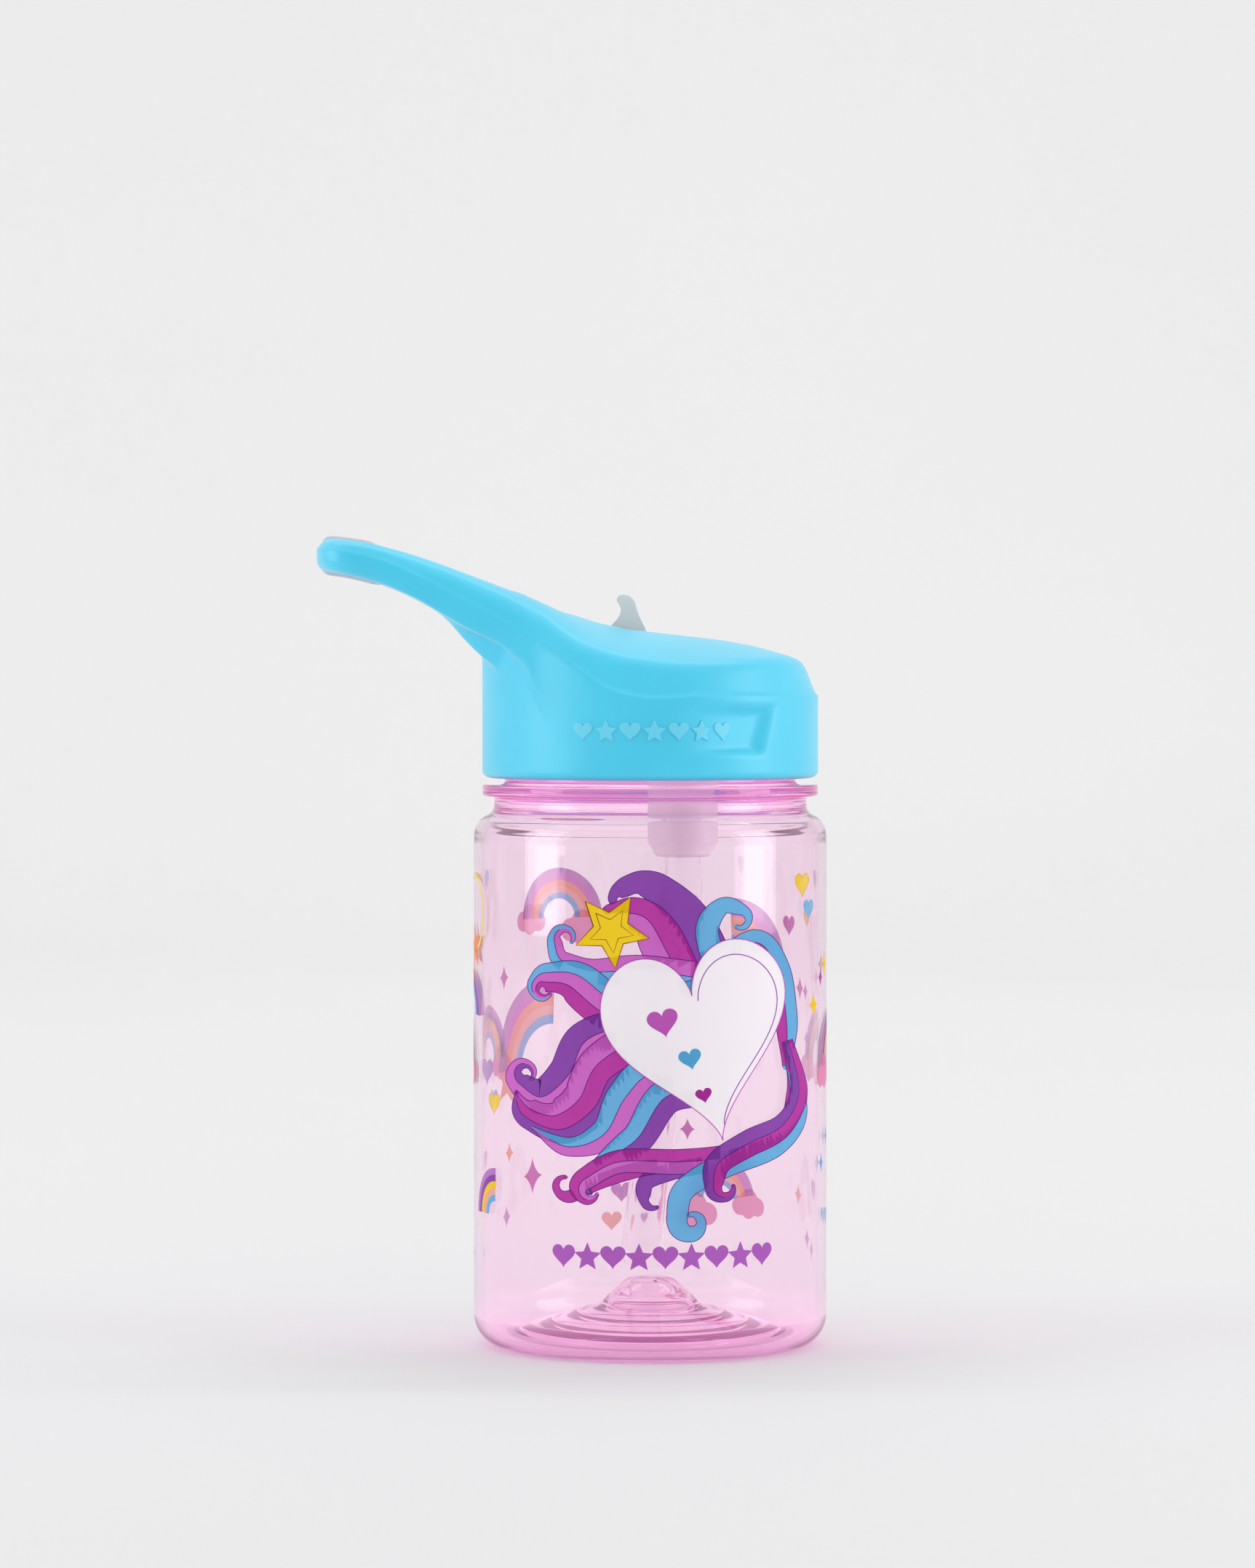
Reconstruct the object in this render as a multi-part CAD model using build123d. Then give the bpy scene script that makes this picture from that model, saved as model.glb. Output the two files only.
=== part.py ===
from build123d import *
import math
import os

# Clear children's bottle with a screw lid, a carry loop moulded in one with the lid, and a
# drinking spout that flips up out of a channel in the lid's top.
# Millimetres. +Z is up, the origin is on the bottle's axis at the standing plane, the carry
# loop points to -X and the spout turns about Y.

# Bottle
BODY_R = 35.0
WALL = 1.6
BASE_CORNER_R = 6.0
FOOT_OUT_R = 29.0
FOOT_IN_R = 26.4
BODY_TOP_Z = 101.0
NECK_WAIST_R = 31.0
NECK_WAIST_Z = 106.6
FLANGE_R = 33.3
FLANGE_Z0 = 109.1
FLANGE_Z1 = 111.4
NECK_R = 28.9
NECK_IN_R = 27.0
WAIST_IN_R = 28.8
NECK_TOP_Z = 128.5
RIM_CUT = 0.4
PUNT_Z = 12.0
PUNT_EDGE_R = 8.2
PUNT_EDGE_Z = 6.9
PUNT_SLOPE = 4.9 / 17.0
MARK_RINGS_R = (14.0, 19.0)
MARK_RING_H = 0.45

# Screw thread, one start, right handed
PITCH = 4.0
THREAD_TURNS = 1.25
NECK_THREAD_R = 30.1
NECK_THREAD_Z = 115.8
THREAD_ROOT_H = 1.7
THREAD_CREST_H = 0.8
THREAD_ROOT_SINK = 0.25

# Lid
LID_R = 33.3
LID_Z0 = 112.7
LID_SKIRT_IN_R = 31.5
CREASE_Z = 129.0
BAND_SLOPE = 0.39
CROWN_R = 5.0
DECK_TOP_Z = 131.4
DECK_Z0 = 129.75
LINER_R = 31.4
LINER_ROOT_R = 30.5
LINER_CREST_R = 29.35
LINER_Z0 = 113.5
SEAL_OUT_R = 30.2
SEAL_IN_R = 27.25
SEAL_Z0 = 128.55
SEAL_Z1 = 129.72

# Carry loop
POCKET_SHIFT = 1.7
LOOP_TIP_X = -65.8
LOOP_GAP_X0 = -55.0
LOOP_GAP_X1 = -33.8
LOOP_GAP_HALF = 12.3
GRIP_HALF = 9.5
GRIP_X0 = -63.6
GRIP_X1 = -53.0
GRIP_PROUD = 0.5
GRIP_DEPTH = 1.2

# Spout
PIVOT_X = 6.5
PIVOT_Z = 131.0
SPOUT_TILT = 15.0
BARREL_R = 7.0
BARREL_HALF = 7.8
TUBE_R = 5.0
TUBE_LEN = 20.0
CORE_R = 3.8
CORE_END = 29.4
MOUTH_R = 6.1
MOUTH_END = 31.0
BORE_R = 2.6
CHANNEL_HALF = 8.2
BLOCK_HALF = 11.6
SADDLE_R = 7.3
CHANNEL_DROP = 7.0
CHANNEL_REAR_X = -27.0
POCKET_FRONT_X = 17.5
POCKET_Z = 134.5
PIN_R = 2.0
PIN_Y0 = 5.0
PIN_Y1 = 10.6
PIN_GAP = 0.05
SEAL_SEAT_R = 5.2
SEAL_SEAT_DROP = 8.6

# Straw
SOCKET_R = 7.0
SOCKET_Z0 = 97.0
SOCKET_TOP_Z = 121.4
SPIGOT_R = 4.9
SPIGOT_Z0 = 113.0
STRAW_R = 4.1
STRAW_IN_R = 3.2
STRAW_TOP_Z = 112.0
STRAW_BEND_Z = 96.9
STRAW_LEAN = 6.2
STRAW_BEND_R = 60.0
STRAW_END_Z = 16.0

# Vent valve, in the liner's deck beside the channel
VENT_X = -10.0
VENT_Y = 18.0
VENT_STEM_R = 1.5
VENT_HEAD_R = 2.3
VENT_SKIRT_R = 4.0

# Blanks that reach past every shape they cut or meet, and the clearance of a joined face
TALL = 60.0
WIDE = 40.0
EPS = 0.01


def ring_z(r_out, r_in, z0, z1, x=0.0, y=0.0):
    h = z1 - z0
    outer = Cylinder(r_out, h, align=(Align.CENTER, Align.CENTER, Align.MIN))
    inner = Cylinder(r_in, h + 2, align=(Align.CENTER, Align.CENTER, Align.MIN))
    return Pos(x, y, z0) * (outer - Pos(0, 0, -1) * inner)


def rod_z(r, z0, z1, x=0.0, y=0.0):
    body = Cylinder(r, z1 - z0, align=(Align.CENTER, Align.CENTER, Align.MIN))
    return Pos(x, y, z0) * body


def rod_y(r, y0, y1, x, z):
    body = Cylinder(r, y1 - y0, align=(Align.CENTER, Align.CENTER, Align.MIN))
    return Pos(x, y1, z) * (Rot(90, 0, 0) * body)


def box_between(x0, x1, y0, y1, z0, z1):
    body = Box(x1 - x0, y1 - y0, z1 - z0, align=(Align.MIN, Align.MIN, Align.MIN))
    return Pos(x0, y0, z0) * body


def side_prism(edges, half):
    """A closed outline in XZ, extruded to both sides of the middle plane."""
    face = make_face(edges)
    return extrude(Plane.XZ * face, amount=half, both=True)


def plan_prism(edges, z0, z1):
    face = make_face(edges)
    return Pos(0, 0, z0) * extrude(face, amount=z1 - z0)


def closed(points):
    return Polyline(*points, close=True)


def thread(r_root, r_crest, z_mid):
    """A helical ridge between two radii, as a sweep of its trapezoid section."""
    height = PITCH * THREAD_TURNS
    path = Helix(PITCH, height, r_root)
    out = 1 if r_crest > r_root else -1
    a = THREAD_ROOT_H / 2
    b = THREAD_CREST_H / 2
    sink = r_root - out * THREAD_ROOT_SINK
    section = closed([(sink, -a), (r_crest, -b), (r_crest, b), (sink, a)])
    face = Plane.XZ * make_face(section)
    ridge = sweep(face, path=path, is_frenet=True)
    return Pos(0, 0, z_mid) * ridge


def bottle_outline():
    s = math.sqrt(0.5)
    c = BASE_CORNER_R
    mid = (FOOT_OUT_R + c * s, c - c * s)
    corner = ThreePointArc((FOOT_OUT_R, 0), mid, (BODY_R, c))
    shoulder = Spline(
        (BODY_R, BODY_TOP_Z), (33.6, 104.9), (NECK_WAIST_R, NECK_WAIST_Z),
        tangents=[(0, 1), (-1, 0.25)],
    )
    base = Polyline(
        (0, PUNT_Z), (3.2, PUNT_Z), (6.6, 9.0), (PUNT_EDGE_R, PUNT_EDGE_Z), (25.2, 2.0),
        (FOOT_IN_R, 0), (FOOT_OUT_R, 0),
    )
    wall = Line((BODY_R, c), (BODY_R, BODY_TOP_Z))
    neck = Polyline(
        (NECK_WAIST_R, NECK_WAIST_Z), (NECK_WAIST_R, FLANGE_Z0), (FLANGE_R - RIM_CUT, FLANGE_Z0),
        (FLANGE_R, FLANGE_Z0 + RIM_CUT), (FLANGE_R, FLANGE_Z1 - RIM_CUT), (FLANGE_R - RIM_CUT, FLANGE_Z1),
        (NECK_R, FLANGE_Z1), (NECK_R, NECK_TOP_Z - 0.5), (NECK_R - 0.5, NECK_TOP_Z), (0, NECK_TOP_Z),
        (0, PUNT_Z),
    )
    return base + corner + wall + shoulder + neck


def cavity_outline():
    r = BODY_R - WALL
    c = BASE_CORNER_R - WALL
    s = math.sqrt(0.5)
    x0 = r - c
    z0 = WALL + 0.2
    corner = ThreePointArc((x0, z0), (x0 + c * s, z0 + c - c * s), (r, z0 + c))
    punt_in_z = PUNT_Z + WALL
    base = Polyline(
        (0, punt_in_z), (4.0, punt_in_z), (7.8, 10.5), (9.5, 8.5), (26.0, 3.6), (27.4, z0), (x0, z0),
    )
    wall = Line((r, z0 + c), (r, BODY_TOP_Z - 0.5))
    shoulder = Spline(
        (r, BODY_TOP_Z - 0.5), (31.6, 104.1), (WAIST_IN_R, 107.2),
        tangents=[(0, 1), (-0.1, 1)],
    )
    neck = Polyline(
        (WAIST_IN_R, 107.2), (WAIST_IN_R, 109.9), (NECK_IN_R, 111.8), (NECK_IN_R, NECK_TOP_Z + 1),
        (0, NECK_TOP_Z + 1), (0, punt_in_z),
    )
    return base + corner + wall + shoulder + neck


def make_bottle():
    outer = revolve(Plane.XZ * make_face(bottle_outline()), Axis.Z)
    inner = revolve(Plane.XZ * make_face(cavity_outline()), Axis.Z)
    body = outer - inner
    for r in MARK_RINGS_R:
        # Low raised rings on the pushed-up base, half sunk in its slope
        slope_z = PUNT_EDGE_Z - (r - PUNT_EDGE_R) * PUNT_SLOPE
        body += Pos(0, 0, slope_z) * Torus(r, MARK_RING_H)
    ridge = thread(NECK_R, NECK_THREAD_R, NECK_THREAD_Z)
    return body + ridge


def dome_profile():
    """The lid's crown in side view: front band, falling top, rear hump behind the channel."""
    front = Polyline((LID_R + 3, CREASE_Z), (LID_R + 3, 133.0), (31.4, 134.9))
    top = Spline(
        (31.4, 134.9), (25.7, 137.2), (15.3, 139.8), (4.9, 141.1), (-9.0, 142.9),
        (-17.6, 144.9), (-25.0, 146.2), (-30.5, 146.0),
    )
    rear = Polyline((-30.5, 146.0), (-36.0, 144.0), (-36.0, CREASE_Z), (LID_R + 3, CREASE_Z))
    return front + top + rear


def cavity_profile():
    top = Spline(
        (29.0, 133.6), (15.0, 137.2), (4.9, 138.5), (-9.0, 140.3), (-22.0, 142.8), (-28.0, 143.2),
    )
    rest = Polyline(
        (-28.0, 143.2), (-36.0, 141.0), (-36.0, 128.0), (36.0, 128.0), (36.0, 131.0), (29.0, 133.6),
    )
    return top + rest


def loop_profile(grow):
    """The carry loop in side view; grow moves its top, tip and underside outwards."""
    g = grow
    top = Spline(
        (10.0, 140.5 + g), (-9.0, 142.9 + g), (-21.1, 147.2 + g), (-38.4, 153.8 + g),
        (-52.2, 158.2 + g), (-60.5, 159.6 + g),
    )
    tip = Spline(
        (-60.5, 159.6 + g), (-65.0 - 0.7 * g, 158.6 + 0.7 * g), (LOOP_TIP_X - g, 156.2),
        (-64.6 - 0.7 * g, 153.6 - 0.7 * g), (-60.5, 152.4 - g),
    )
    under = Spline((-60.5, 152.4 - g), (-50.5, 149.4 - g), (-40.1, 144.2 - g), (-33.5, 140.2 - g))
    foot = Spline((-33.5, 140.2 - g), (-26.9, 136.4 - g), (-23.2, 129.4))
    close = Polyline((-23.2, 129.4), (10.0, 129.4), (10.0, 140.5 + g))
    return top + tip + under + foot + close


def loop_outline(grow):
    """The upper lid from above: round front, waisted sides, loop with a rounded end."""
    g = grow
    tip = LOOP_TIP_X - g
    half = [
        (10.0, 31.6 + g), (-4.0, 33.1 + g), (-12.0, 31.2 + g), (-20.0, 27.0 + g), (-28.0, 23.6 + g),
        (-38.0, 21.3 + g), (-50.0, 19.9 + g), (-58.0, 18.0 + g), (-63.5, 12.6 + g), (tip, 0.0),
    ]
    upper = Spline(*half, tangents=[(-1, 0.45), (0, -1)])
    lower = Spline(*[(x, -y) for x, y in half], tangents=[(-1, -0.45), (0, 1)])
    front = Line(half[0], (half[0][0], -half[0][1]))
    return upper + lower + front


def gap_outline(shrink):
    x0 = LOOP_GAP_X0 - shrink
    x1 = LOOP_GAP_X1 + shrink
    h = LOOP_GAP_HALF + shrink
    r0 = 8.5
    return FilletPolyline((x0, -h), (x1, -h * 1.05), (x1, h * 1.05), (x0, h), radius=r0, close=True)


# Cross-sections of the upper lid, from the front to the loop's tip:
# x, half width, bottom, outer lower edge, band top, band lean, half width of the flat, top
SECTIONS = (
    (10.0, 31.6, 129.3, 129.3, 134.9, 2.2, 7.0, 140.4),
    (-4.0, 32.9, 129.3, 129.6, 135.4, 2.2, 7.5, 142.2),
    (-12.0, 31.0, 129.3, 132.8, 137.8, 2.0, 8.0, 143.7),
    (-20.0, 27.0, 129.3, 136.4, 141.6, 1.8, 9.0, 146.7),
    (-28.0, 23.6, 134.6, 137.9, 144.4, 1.6, 11.0, 149.9),
    (-36.0, 21.7, 141.4, 142.6, 148.2, 1.4, 13.0, 153.0),
    (-46.0, 20.3, 147.4, 148.3, 152.9, 1.2, 14.0, 156.7),
    (-56.0, 19.4, 151.0, 151.9, 156.0, 1.0, 13.0, 159.2),
    (-68.0, 18.4, 152.6, 153.4, 157.6, 1.0, 12.0, 160.4),
)


def section_face(station):
    x, half, low, edge, band, lean, flat, top = station
    low_line = Polyline((-half, edge), (-half + 4.0, low), (half - 4.0, low), (half, edge))
    near = Line((half, edge), (half - lean, band))
    far = Line((-half + lean, band), (-half, edge))
    round_near = Spline((half - lean, band), (flat, top), tangents=[(-lean, band - edge), (-1, 0)])
    round_far = Spline((-flat, top), (-half + lean, band), tangents=[(-1, 0), (-lean, edge - band)])
    crown = Line((flat, top), (-flat, top))
    plane = Plane(origin=(x, 0, 0), x_dir=(0, 1, 0), z_dir=(1, 0, 0))
    return plane * make_face(low_line + near + round_near + crown + round_far + far)


def loop_solid():
    """Upper lid from the middle back to the loop's tip, with the finger gap cut out."""
    upper = loft([section_face(station) for station in SECTIONS])
    return upper & grip_bar(0)


def crown_edges(body):
    """The long edges where the lid's leaning band meets its top."""
    high = [e for e in body.edges() if e.center().Z > CREASE_Z + 3]
    return [e for e in high if e.bounding_box().size.X > 2]


def make_crown():
    taper_h = 21.0
    base = (Align.CENTER, Align.CENTER, Align.MIN)
    cone = Pos(0, 0, CREASE_Z) * Cone(LID_R, LID_R - BAND_SLOPE * taper_h, taper_h, align=base)
    crown = cone & side_prism(dome_profile(), WIDE)
    return fillet(crown_edges(crown), CROWN_R)


def skirt_solid():
    """The plain wall, carried up behind the crease towards the loop's root."""
    rise = Spline((-3.6, CREASE_Z), (-10.0, 131.2), (-17.0, 136.0), (-24.0, 139.0), (-36.0, 141.0))
    rest = Polyline((-36.0, 141.0), (-36.0, LID_Z0), (36.0, LID_Z0), (36.0, CREASE_Z), (-3.6, CREASE_Z))
    side = side_prism(rise + rest, WIDE)
    outer = Cylinder(LID_R, TALL, align=(Align.CENTER, Align.CENTER, Align.MIN))
    outer = chamfer(outer.edges().sort_by(Axis.Z)[0], 1.0)
    return side & (Pos(0, 0, LID_Z0) * outer)


def side_pocket():
    """Shallow recess in the near wall, its floor a shifted cylinder that fades out towards -X."""
    front = box_between(2.0, 40, -40, 0, 110, 140)
    side = side_prism(closed([(0, 117.3), (22.8, 117.3), (25.3, 127.7), (0, 127.7)]), WIDE)
    return (front & side) - rod_z(LID_R, 100, 150, -POCKET_SHIFT)


def along_spout(r, s0, s1):
    body = Cylinder(r, s1 - s0, align=(Align.CENTER, Align.CENTER, Align.MIN))
    turn = Rot(0, -(90 - SPOUT_TILT), 0)
    return Pos(PIVOT_X, 0, PIVOT_Z) * (turn * (Pos(0, 0, s0) * body))


def channel_floor(x):
    t = math.radians(SPOUT_TILT)
    return PIVOT_Z + (PIVOT_X - x) * math.tan(t) - CHANNEL_DROP


def channel_solid():
    points = [
        (CHANNEL_REAR_X, 175), (CHANNEL_REAR_X, channel_floor(CHANNEL_REAR_X)), (2.0, channel_floor(2.0)),
        (PIVOT_X, PIVOT_Z), (PIVOT_X, POCKET_Z), (POCKET_FRONT_X, POCKET_Z), (POCKET_FRONT_X, 175),
    ]
    slot = side_prism(closed(points), CHANNEL_HALF)
    saddle = rod_y(SADDLE_R, -CHANNEL_HALF, CHANNEL_HALF, PIVOT_X, PIVOT_Z)
    return slot + saddle


def block_solid():
    """Solid trough round the channel and the pivot, hanging through the liner's deck."""
    under = 2.2
    points = [
        (-29.2, 143), (-29.2, DECK_TOP_Z + 0.1), (-24.4, DECK_TOP_Z + 0.1),
        (-24.4, channel_floor(-24.4) - under), (-1.5, channel_floor(-1.5) - under),
        (-1.5, SOCKET_TOP_Z + 0.2), (14.5, SOCKET_TOP_Z + 0.2), (16.5, 125.0), (20.0, 130.5), (20.0, 143),
    ]
    return side_prism(closed(points), BLOCK_HALF)


def deck_slot():
    return box_between(-24.5, 20.1, -BLOCK_HALF - 0.1, BLOCK_HALF + 0.1, DECK_Z0 - 1, DECK_TOP_Z + 1)


def grip_bar(grow):
    side = side_prism(loop_profile(grow), WIDE)
    plan = plan_prism(loop_outline(grow), 110, 175)
    return (side & plan) - plan_prism(gap_outline(-grow), 110, 175)


def make_grip():
    """Soft insert round the loop's cross bar, standing slightly proud above and below."""
    band = box_between(GRIP_X0, GRIP_X1, -GRIP_HALF, GRIP_HALF, 140, 170)
    return (grip_bar(GRIP_PROUD) - grip_bar(-GRIP_DEPTH)) & band


def make_lid():
    envelope = skirt_solid() + make_crown() + loop_solid()
    cone = Cone(31.0, 24.0, 18.0, align=(Align.CENTER, Align.CENTER, Align.MIN))
    inside = (Pos(0, 0, DECK_TOP_Z) * cone) & side_prism(cavity_profile(), WIDE)
    skirt_bore = rod_z(LID_SKIRT_IN_R, LID_Z0 - 1, DECK_TOP_Z + EPS)
    lid = envelope - inside - skirt_bore
    hanging = block_solid() & rod_z(LINER_R - 2.2, LID_Z0, DECK_TOP_Z + 0.2)
    lid = lid + (block_solid() & envelope) + hanging
    lid = lid - channel_solid()
    lid = lid - side_pocket()
    spigot = rod_z(SPIGOT_R, SPIGOT_Z0, SOCKET_TOP_Z + 1, PIVOT_X)
    inlet = rod_z(BORE_R, SPIGOT_Z0 - 1, PIVOT_Z, PIVOT_X)
    seal_seat = rod_z(SEAL_SEAT_R, PIVOT_Z - SEAL_SEAT_DROP, PIVOT_Z, PIVOT_X)
    lid = (lid + spigot) - inlet - seal_seat
    for side in (-1, 1):
        y0 = min(side * (CHANNEL_HALF - 1), side * PIN_Y1)
        y1 = max(side * (CHANNEL_HALF - 1), side * PIN_Y1)
        lid -= rod_y(PIN_R, y0, y1, PIVOT_X, PIVOT_Z)
    return lid


def make_liner():
    cup = ring_z(LINER_R, LINER_ROOT_R, LINER_Z0, DECK_TOP_Z)
    deck = rod_z(LINER_R, DECK_Z0, DECK_TOP_Z)
    ridge = thread(LINER_ROOT_R, LINER_CREST_R, NECK_THREAD_Z - PITCH / 2)
    vent = rod_z(VENT_STEM_R + 0.02, DECK_Z0 - 1, DECK_TOP_Z + 1, VENT_X, VENT_Y)
    return (cup + deck + ridge) - deck_slot() - vent


def make_seal():
    return ring_z(SEAL_OUT_R, SEAL_IN_R, SEAL_Z0, SEAL_Z1)


def spout_bore():
    return along_spout(BORE_R, -BARREL_R - 2, MOUTH_END + 2)


def make_spout():
    barrel = rod_y(BARREL_R, -BARREL_HALF, BARREL_HALF, PIVOT_X, PIVOT_Z)
    body = barrel + along_spout(TUBE_R, 0, TUBE_LEN) + along_spout(CORE_R, 0, CORE_END)
    for side in (-1, 1):
        y0 = min(side * (PIN_Y0 - 0.2), side * (BARREL_HALF + 1))
        y1 = max(side * (PIN_Y0 - 0.2), side * (BARREL_HALF + 1))
        body -= rod_y(PIN_R + PIN_GAP, y0, y1, PIVOT_X, PIVOT_Z)
    return body - spout_bore()


def make_tab():
    rear = Spline((-8.6, 138.0), (-7.9, 142.6), (-5.9, 145.3), (-6.6, 147.6))
    tip = Spline((-6.6, 147.6), (-6.3, 148.6), (-5.2, 148.9), (-3.6, 148.2), (-2.9, 147.0))
    front = Spline((-2.9, 147.0), (-2.4, 145.2), (-0.7, 141.7), (0.6, 137.5))
    foot = Line((0.6, 137.5), (-8.6, 138.0))
    tab = side_prism(rear + tip + front + foot, 4.6)
    rounder = rod_z(9.2, 130, 160, 0.8) & rod_z(9.2, 130, 160, -9.0)
    tab = tab & rounder
    return tab - along_spout(TUBE_R + EPS, -2, TUBE_LEN) - rod_y(BARREL_R + EPS, -9, 9, PIVOT_X, PIVOT_Z)


def make_mouthpiece():
    sleeve = along_spout(MOUTH_R, TUBE_LEN + EPS, MOUTH_END)
    rims = [e for e in sleeve.edges() if e.geom_type == GeomType.CIRCLE]
    sleeve = fillet(rims, 1.4)
    return sleeve - along_spout(CORE_R + EPS, TUBE_LEN - 1, CORE_END + EPS) - spout_bore()


def make_pin(side):
    y0 = min(side * PIN_Y0, side * PIN_Y1)
    y1 = max(side * PIN_Y0, side * PIN_Y1)
    return rod_y(PIN_R - EPS, y0 + EPS, y1 - EPS, PIVOT_X, PIVOT_Z)


def make_spout_seal():
    ring = ring_z(SEAL_SEAT_R - 0.02, BORE_R, PIVOT_Z - SEAL_SEAT_DROP + 0.02, PIVOT_Z, PIVOT_X)
    return ring - rod_y(BARREL_R + 0.1, -9, 9, PIVOT_X, PIVOT_Z)


def make_socket():
    s = math.sqrt(0.5)
    r = 1.2
    low = 5.9
    step_z = SPIGOT_Z0 - 0.4
    turn = (low - r + r * s, SOCKET_Z0 + r - r * s)
    corner = ThreePointArc((low - r, SOCKET_Z0), turn, (low, SOCKET_Z0 + r))
    wall = Polyline(
        (low, SOCKET_Z0 + r), (SOCKET_R, SOCKET_Z0 + 5.0), (SOCKET_R, SOCKET_TOP_Z),
        (SPIGOT_R + EPS, SOCKET_TOP_Z), (SPIGOT_R + EPS, step_z), (STRAW_R + EPS, step_z),
        (STRAW_R + EPS, SOCKET_Z0), (low - r, SOCKET_Z0),
    )
    return Pos(PIVOT_X, 0, 0) * revolve(Plane.XZ * make_face(corner + wall), Axis.Z)


def straw_path():
    lean = math.radians(STRAW_LEAN)
    x0 = PIVOT_X
    x1 = x0 - STRAW_BEND_R * (1 - math.cos(lean))
    z1 = STRAW_BEND_Z - STRAW_BEND_R * math.sin(lean)
    xm = x0 - STRAW_BEND_R * (1 - math.cos(lean / 2))
    zm = STRAW_BEND_Z - STRAW_BEND_R * math.sin(lean / 2)
    drop = z1 - STRAW_END_Z
    x2 = x1 - drop * math.tan(lean)
    top = Line((x0, STRAW_TOP_Z), (x0, STRAW_BEND_Z))
    bend = ThreePointArc((x0, STRAW_BEND_Z), (xm, zm), (x1, z1))
    low = Line((x1, z1), (x2, STRAW_END_Z))
    return Plane.XZ * (top + bend + low)


def make_straw():
    seat = Plane(origin=(PIVOT_X, 0, STRAW_TOP_Z), z_dir=(0, 0, -1))
    section = Circle(STRAW_R) - Circle(STRAW_IN_R)
    return sweep(seat * section, path=straw_path())


def make_vent():
    stem = rod_z(VENT_STEM_R, DECK_Z0 - 0.4, DECK_TOP_Z + 0.4, VENT_X, VENT_Y)
    head = rod_z(VENT_HEAD_R, DECK_TOP_Z + EPS, DECK_TOP_Z + 1.0, VENT_X, VENT_Y)
    flap = Cone(VENT_SKIRT_R - 1.2, VENT_SKIRT_R, 0.9, align=(Align.CENTER, Align.CENTER, Align.MAX))
    return stem + head + Pos(VENT_X, VENT_Y, DECK_Z0 - EPS) * flap


def build_all():
    lid = make_lid()
    grip = make_grip()
    return {
        "bottle_body": make_bottle(),
        "lid_shell": lid - grip,
        "lid_liner": make_liner(),
        "lid_seal": make_seal(),
        "handle_grip": grip,
        "spout_body": make_spout(),
        "spout_thumb_tab": make_tab(),
        "spout_mouthpiece": make_mouthpiece(),
        "spout_pin_left": make_pin(-1),
        "spout_pin_right": make_pin(1),
        "spout_seal": make_spout_seal(),
        "straw_socket": make_socket(),
        "straw": make_straw(),
        "vent_valve": make_vent(),
    }


os.makedirs("parts", exist_ok=True)
for name, shape in build_all().items():
    export_step(shape, f"parts/{name}.step")
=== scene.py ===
import math
import bpy
import bmesh
import numpy as np
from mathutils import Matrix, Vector


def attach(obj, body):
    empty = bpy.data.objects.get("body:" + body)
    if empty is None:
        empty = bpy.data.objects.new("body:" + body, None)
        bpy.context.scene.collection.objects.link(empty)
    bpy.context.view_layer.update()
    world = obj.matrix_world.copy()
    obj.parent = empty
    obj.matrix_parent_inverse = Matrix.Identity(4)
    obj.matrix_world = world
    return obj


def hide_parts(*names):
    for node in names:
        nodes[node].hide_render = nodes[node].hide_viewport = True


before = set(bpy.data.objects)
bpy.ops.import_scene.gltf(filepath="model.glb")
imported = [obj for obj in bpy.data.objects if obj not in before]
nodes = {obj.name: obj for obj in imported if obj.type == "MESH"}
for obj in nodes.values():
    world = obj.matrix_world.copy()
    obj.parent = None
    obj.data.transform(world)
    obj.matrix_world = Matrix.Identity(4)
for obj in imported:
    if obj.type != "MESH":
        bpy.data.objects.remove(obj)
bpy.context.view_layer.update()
MM = 0.001


# ---------------------------------------------------------------- materials

def lin(c):
    """sRGB 0-255 to linear."""
    out = []
    for v in c:
        v = v / 255.0
        out.append(v / 12.92 if v <= 0.04045 else ((v + 0.055) / 1.055) ** 2.4)
    return (out[0], out[1], out[2], 1.0)


def new_mat(name):
    m = bpy.data.materials.new(name)
    m.use_nodes = True
    nt = m.node_tree
    p = nt.nodes["Principled BSDF"]
    return m, nt, p


def coords(nt):
    tc = nt.nodes.new("ShaderNodeTexCoord")
    return tc.outputs["Object"]


def noise(nt, scale, detail=3.0, rough=0.5):
    n = nt.nodes.new("ShaderNodeTexNoise")
    n.inputs["Scale"].default_value = scale
    n.inputs["Detail"].default_value = detail
    n.inputs["Roughness"].default_value = rough
    nt.links.new(coords(nt), n.inputs["Vector"])
    return n.outputs["Fac"]


def mix_colour(nt, fac, a, b):
    r = nt.nodes.new("ShaderNodeValToRGB")
    r.color_ramp.elements[0].position = 0.3
    r.color_ramp.elements[1].position = 0.7
    r.color_ramp.elements[0].color = a
    r.color_ramp.elements[1].color = b
    nt.links.new(fac, r.inputs["Fac"])
    return r.outputs["Color"]


def map_range(nt, fac, low, high):
    n = nt.nodes.new("ShaderNodeMapRange")
    n.inputs["From Min"].default_value = 0.3
    n.inputs["From Max"].default_value = 0.7
    n.inputs["To Min"].default_value = low
    n.inputs["To Max"].default_value = high
    nt.links.new(fac, n.inputs["Value"])
    return n.outputs["Result"]


def bump(nt, p, fac, strength, distance):
    b = nt.nodes.new("ShaderNodeBump")
    b.inputs["Strength"].default_value = strength
    b.inputs["Distance"].default_value = distance
    nt.links.new(fac, b.inputs["Height"])
    nt.links.new(b.outputs["Normal"], p.inputs["Normal"])


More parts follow.
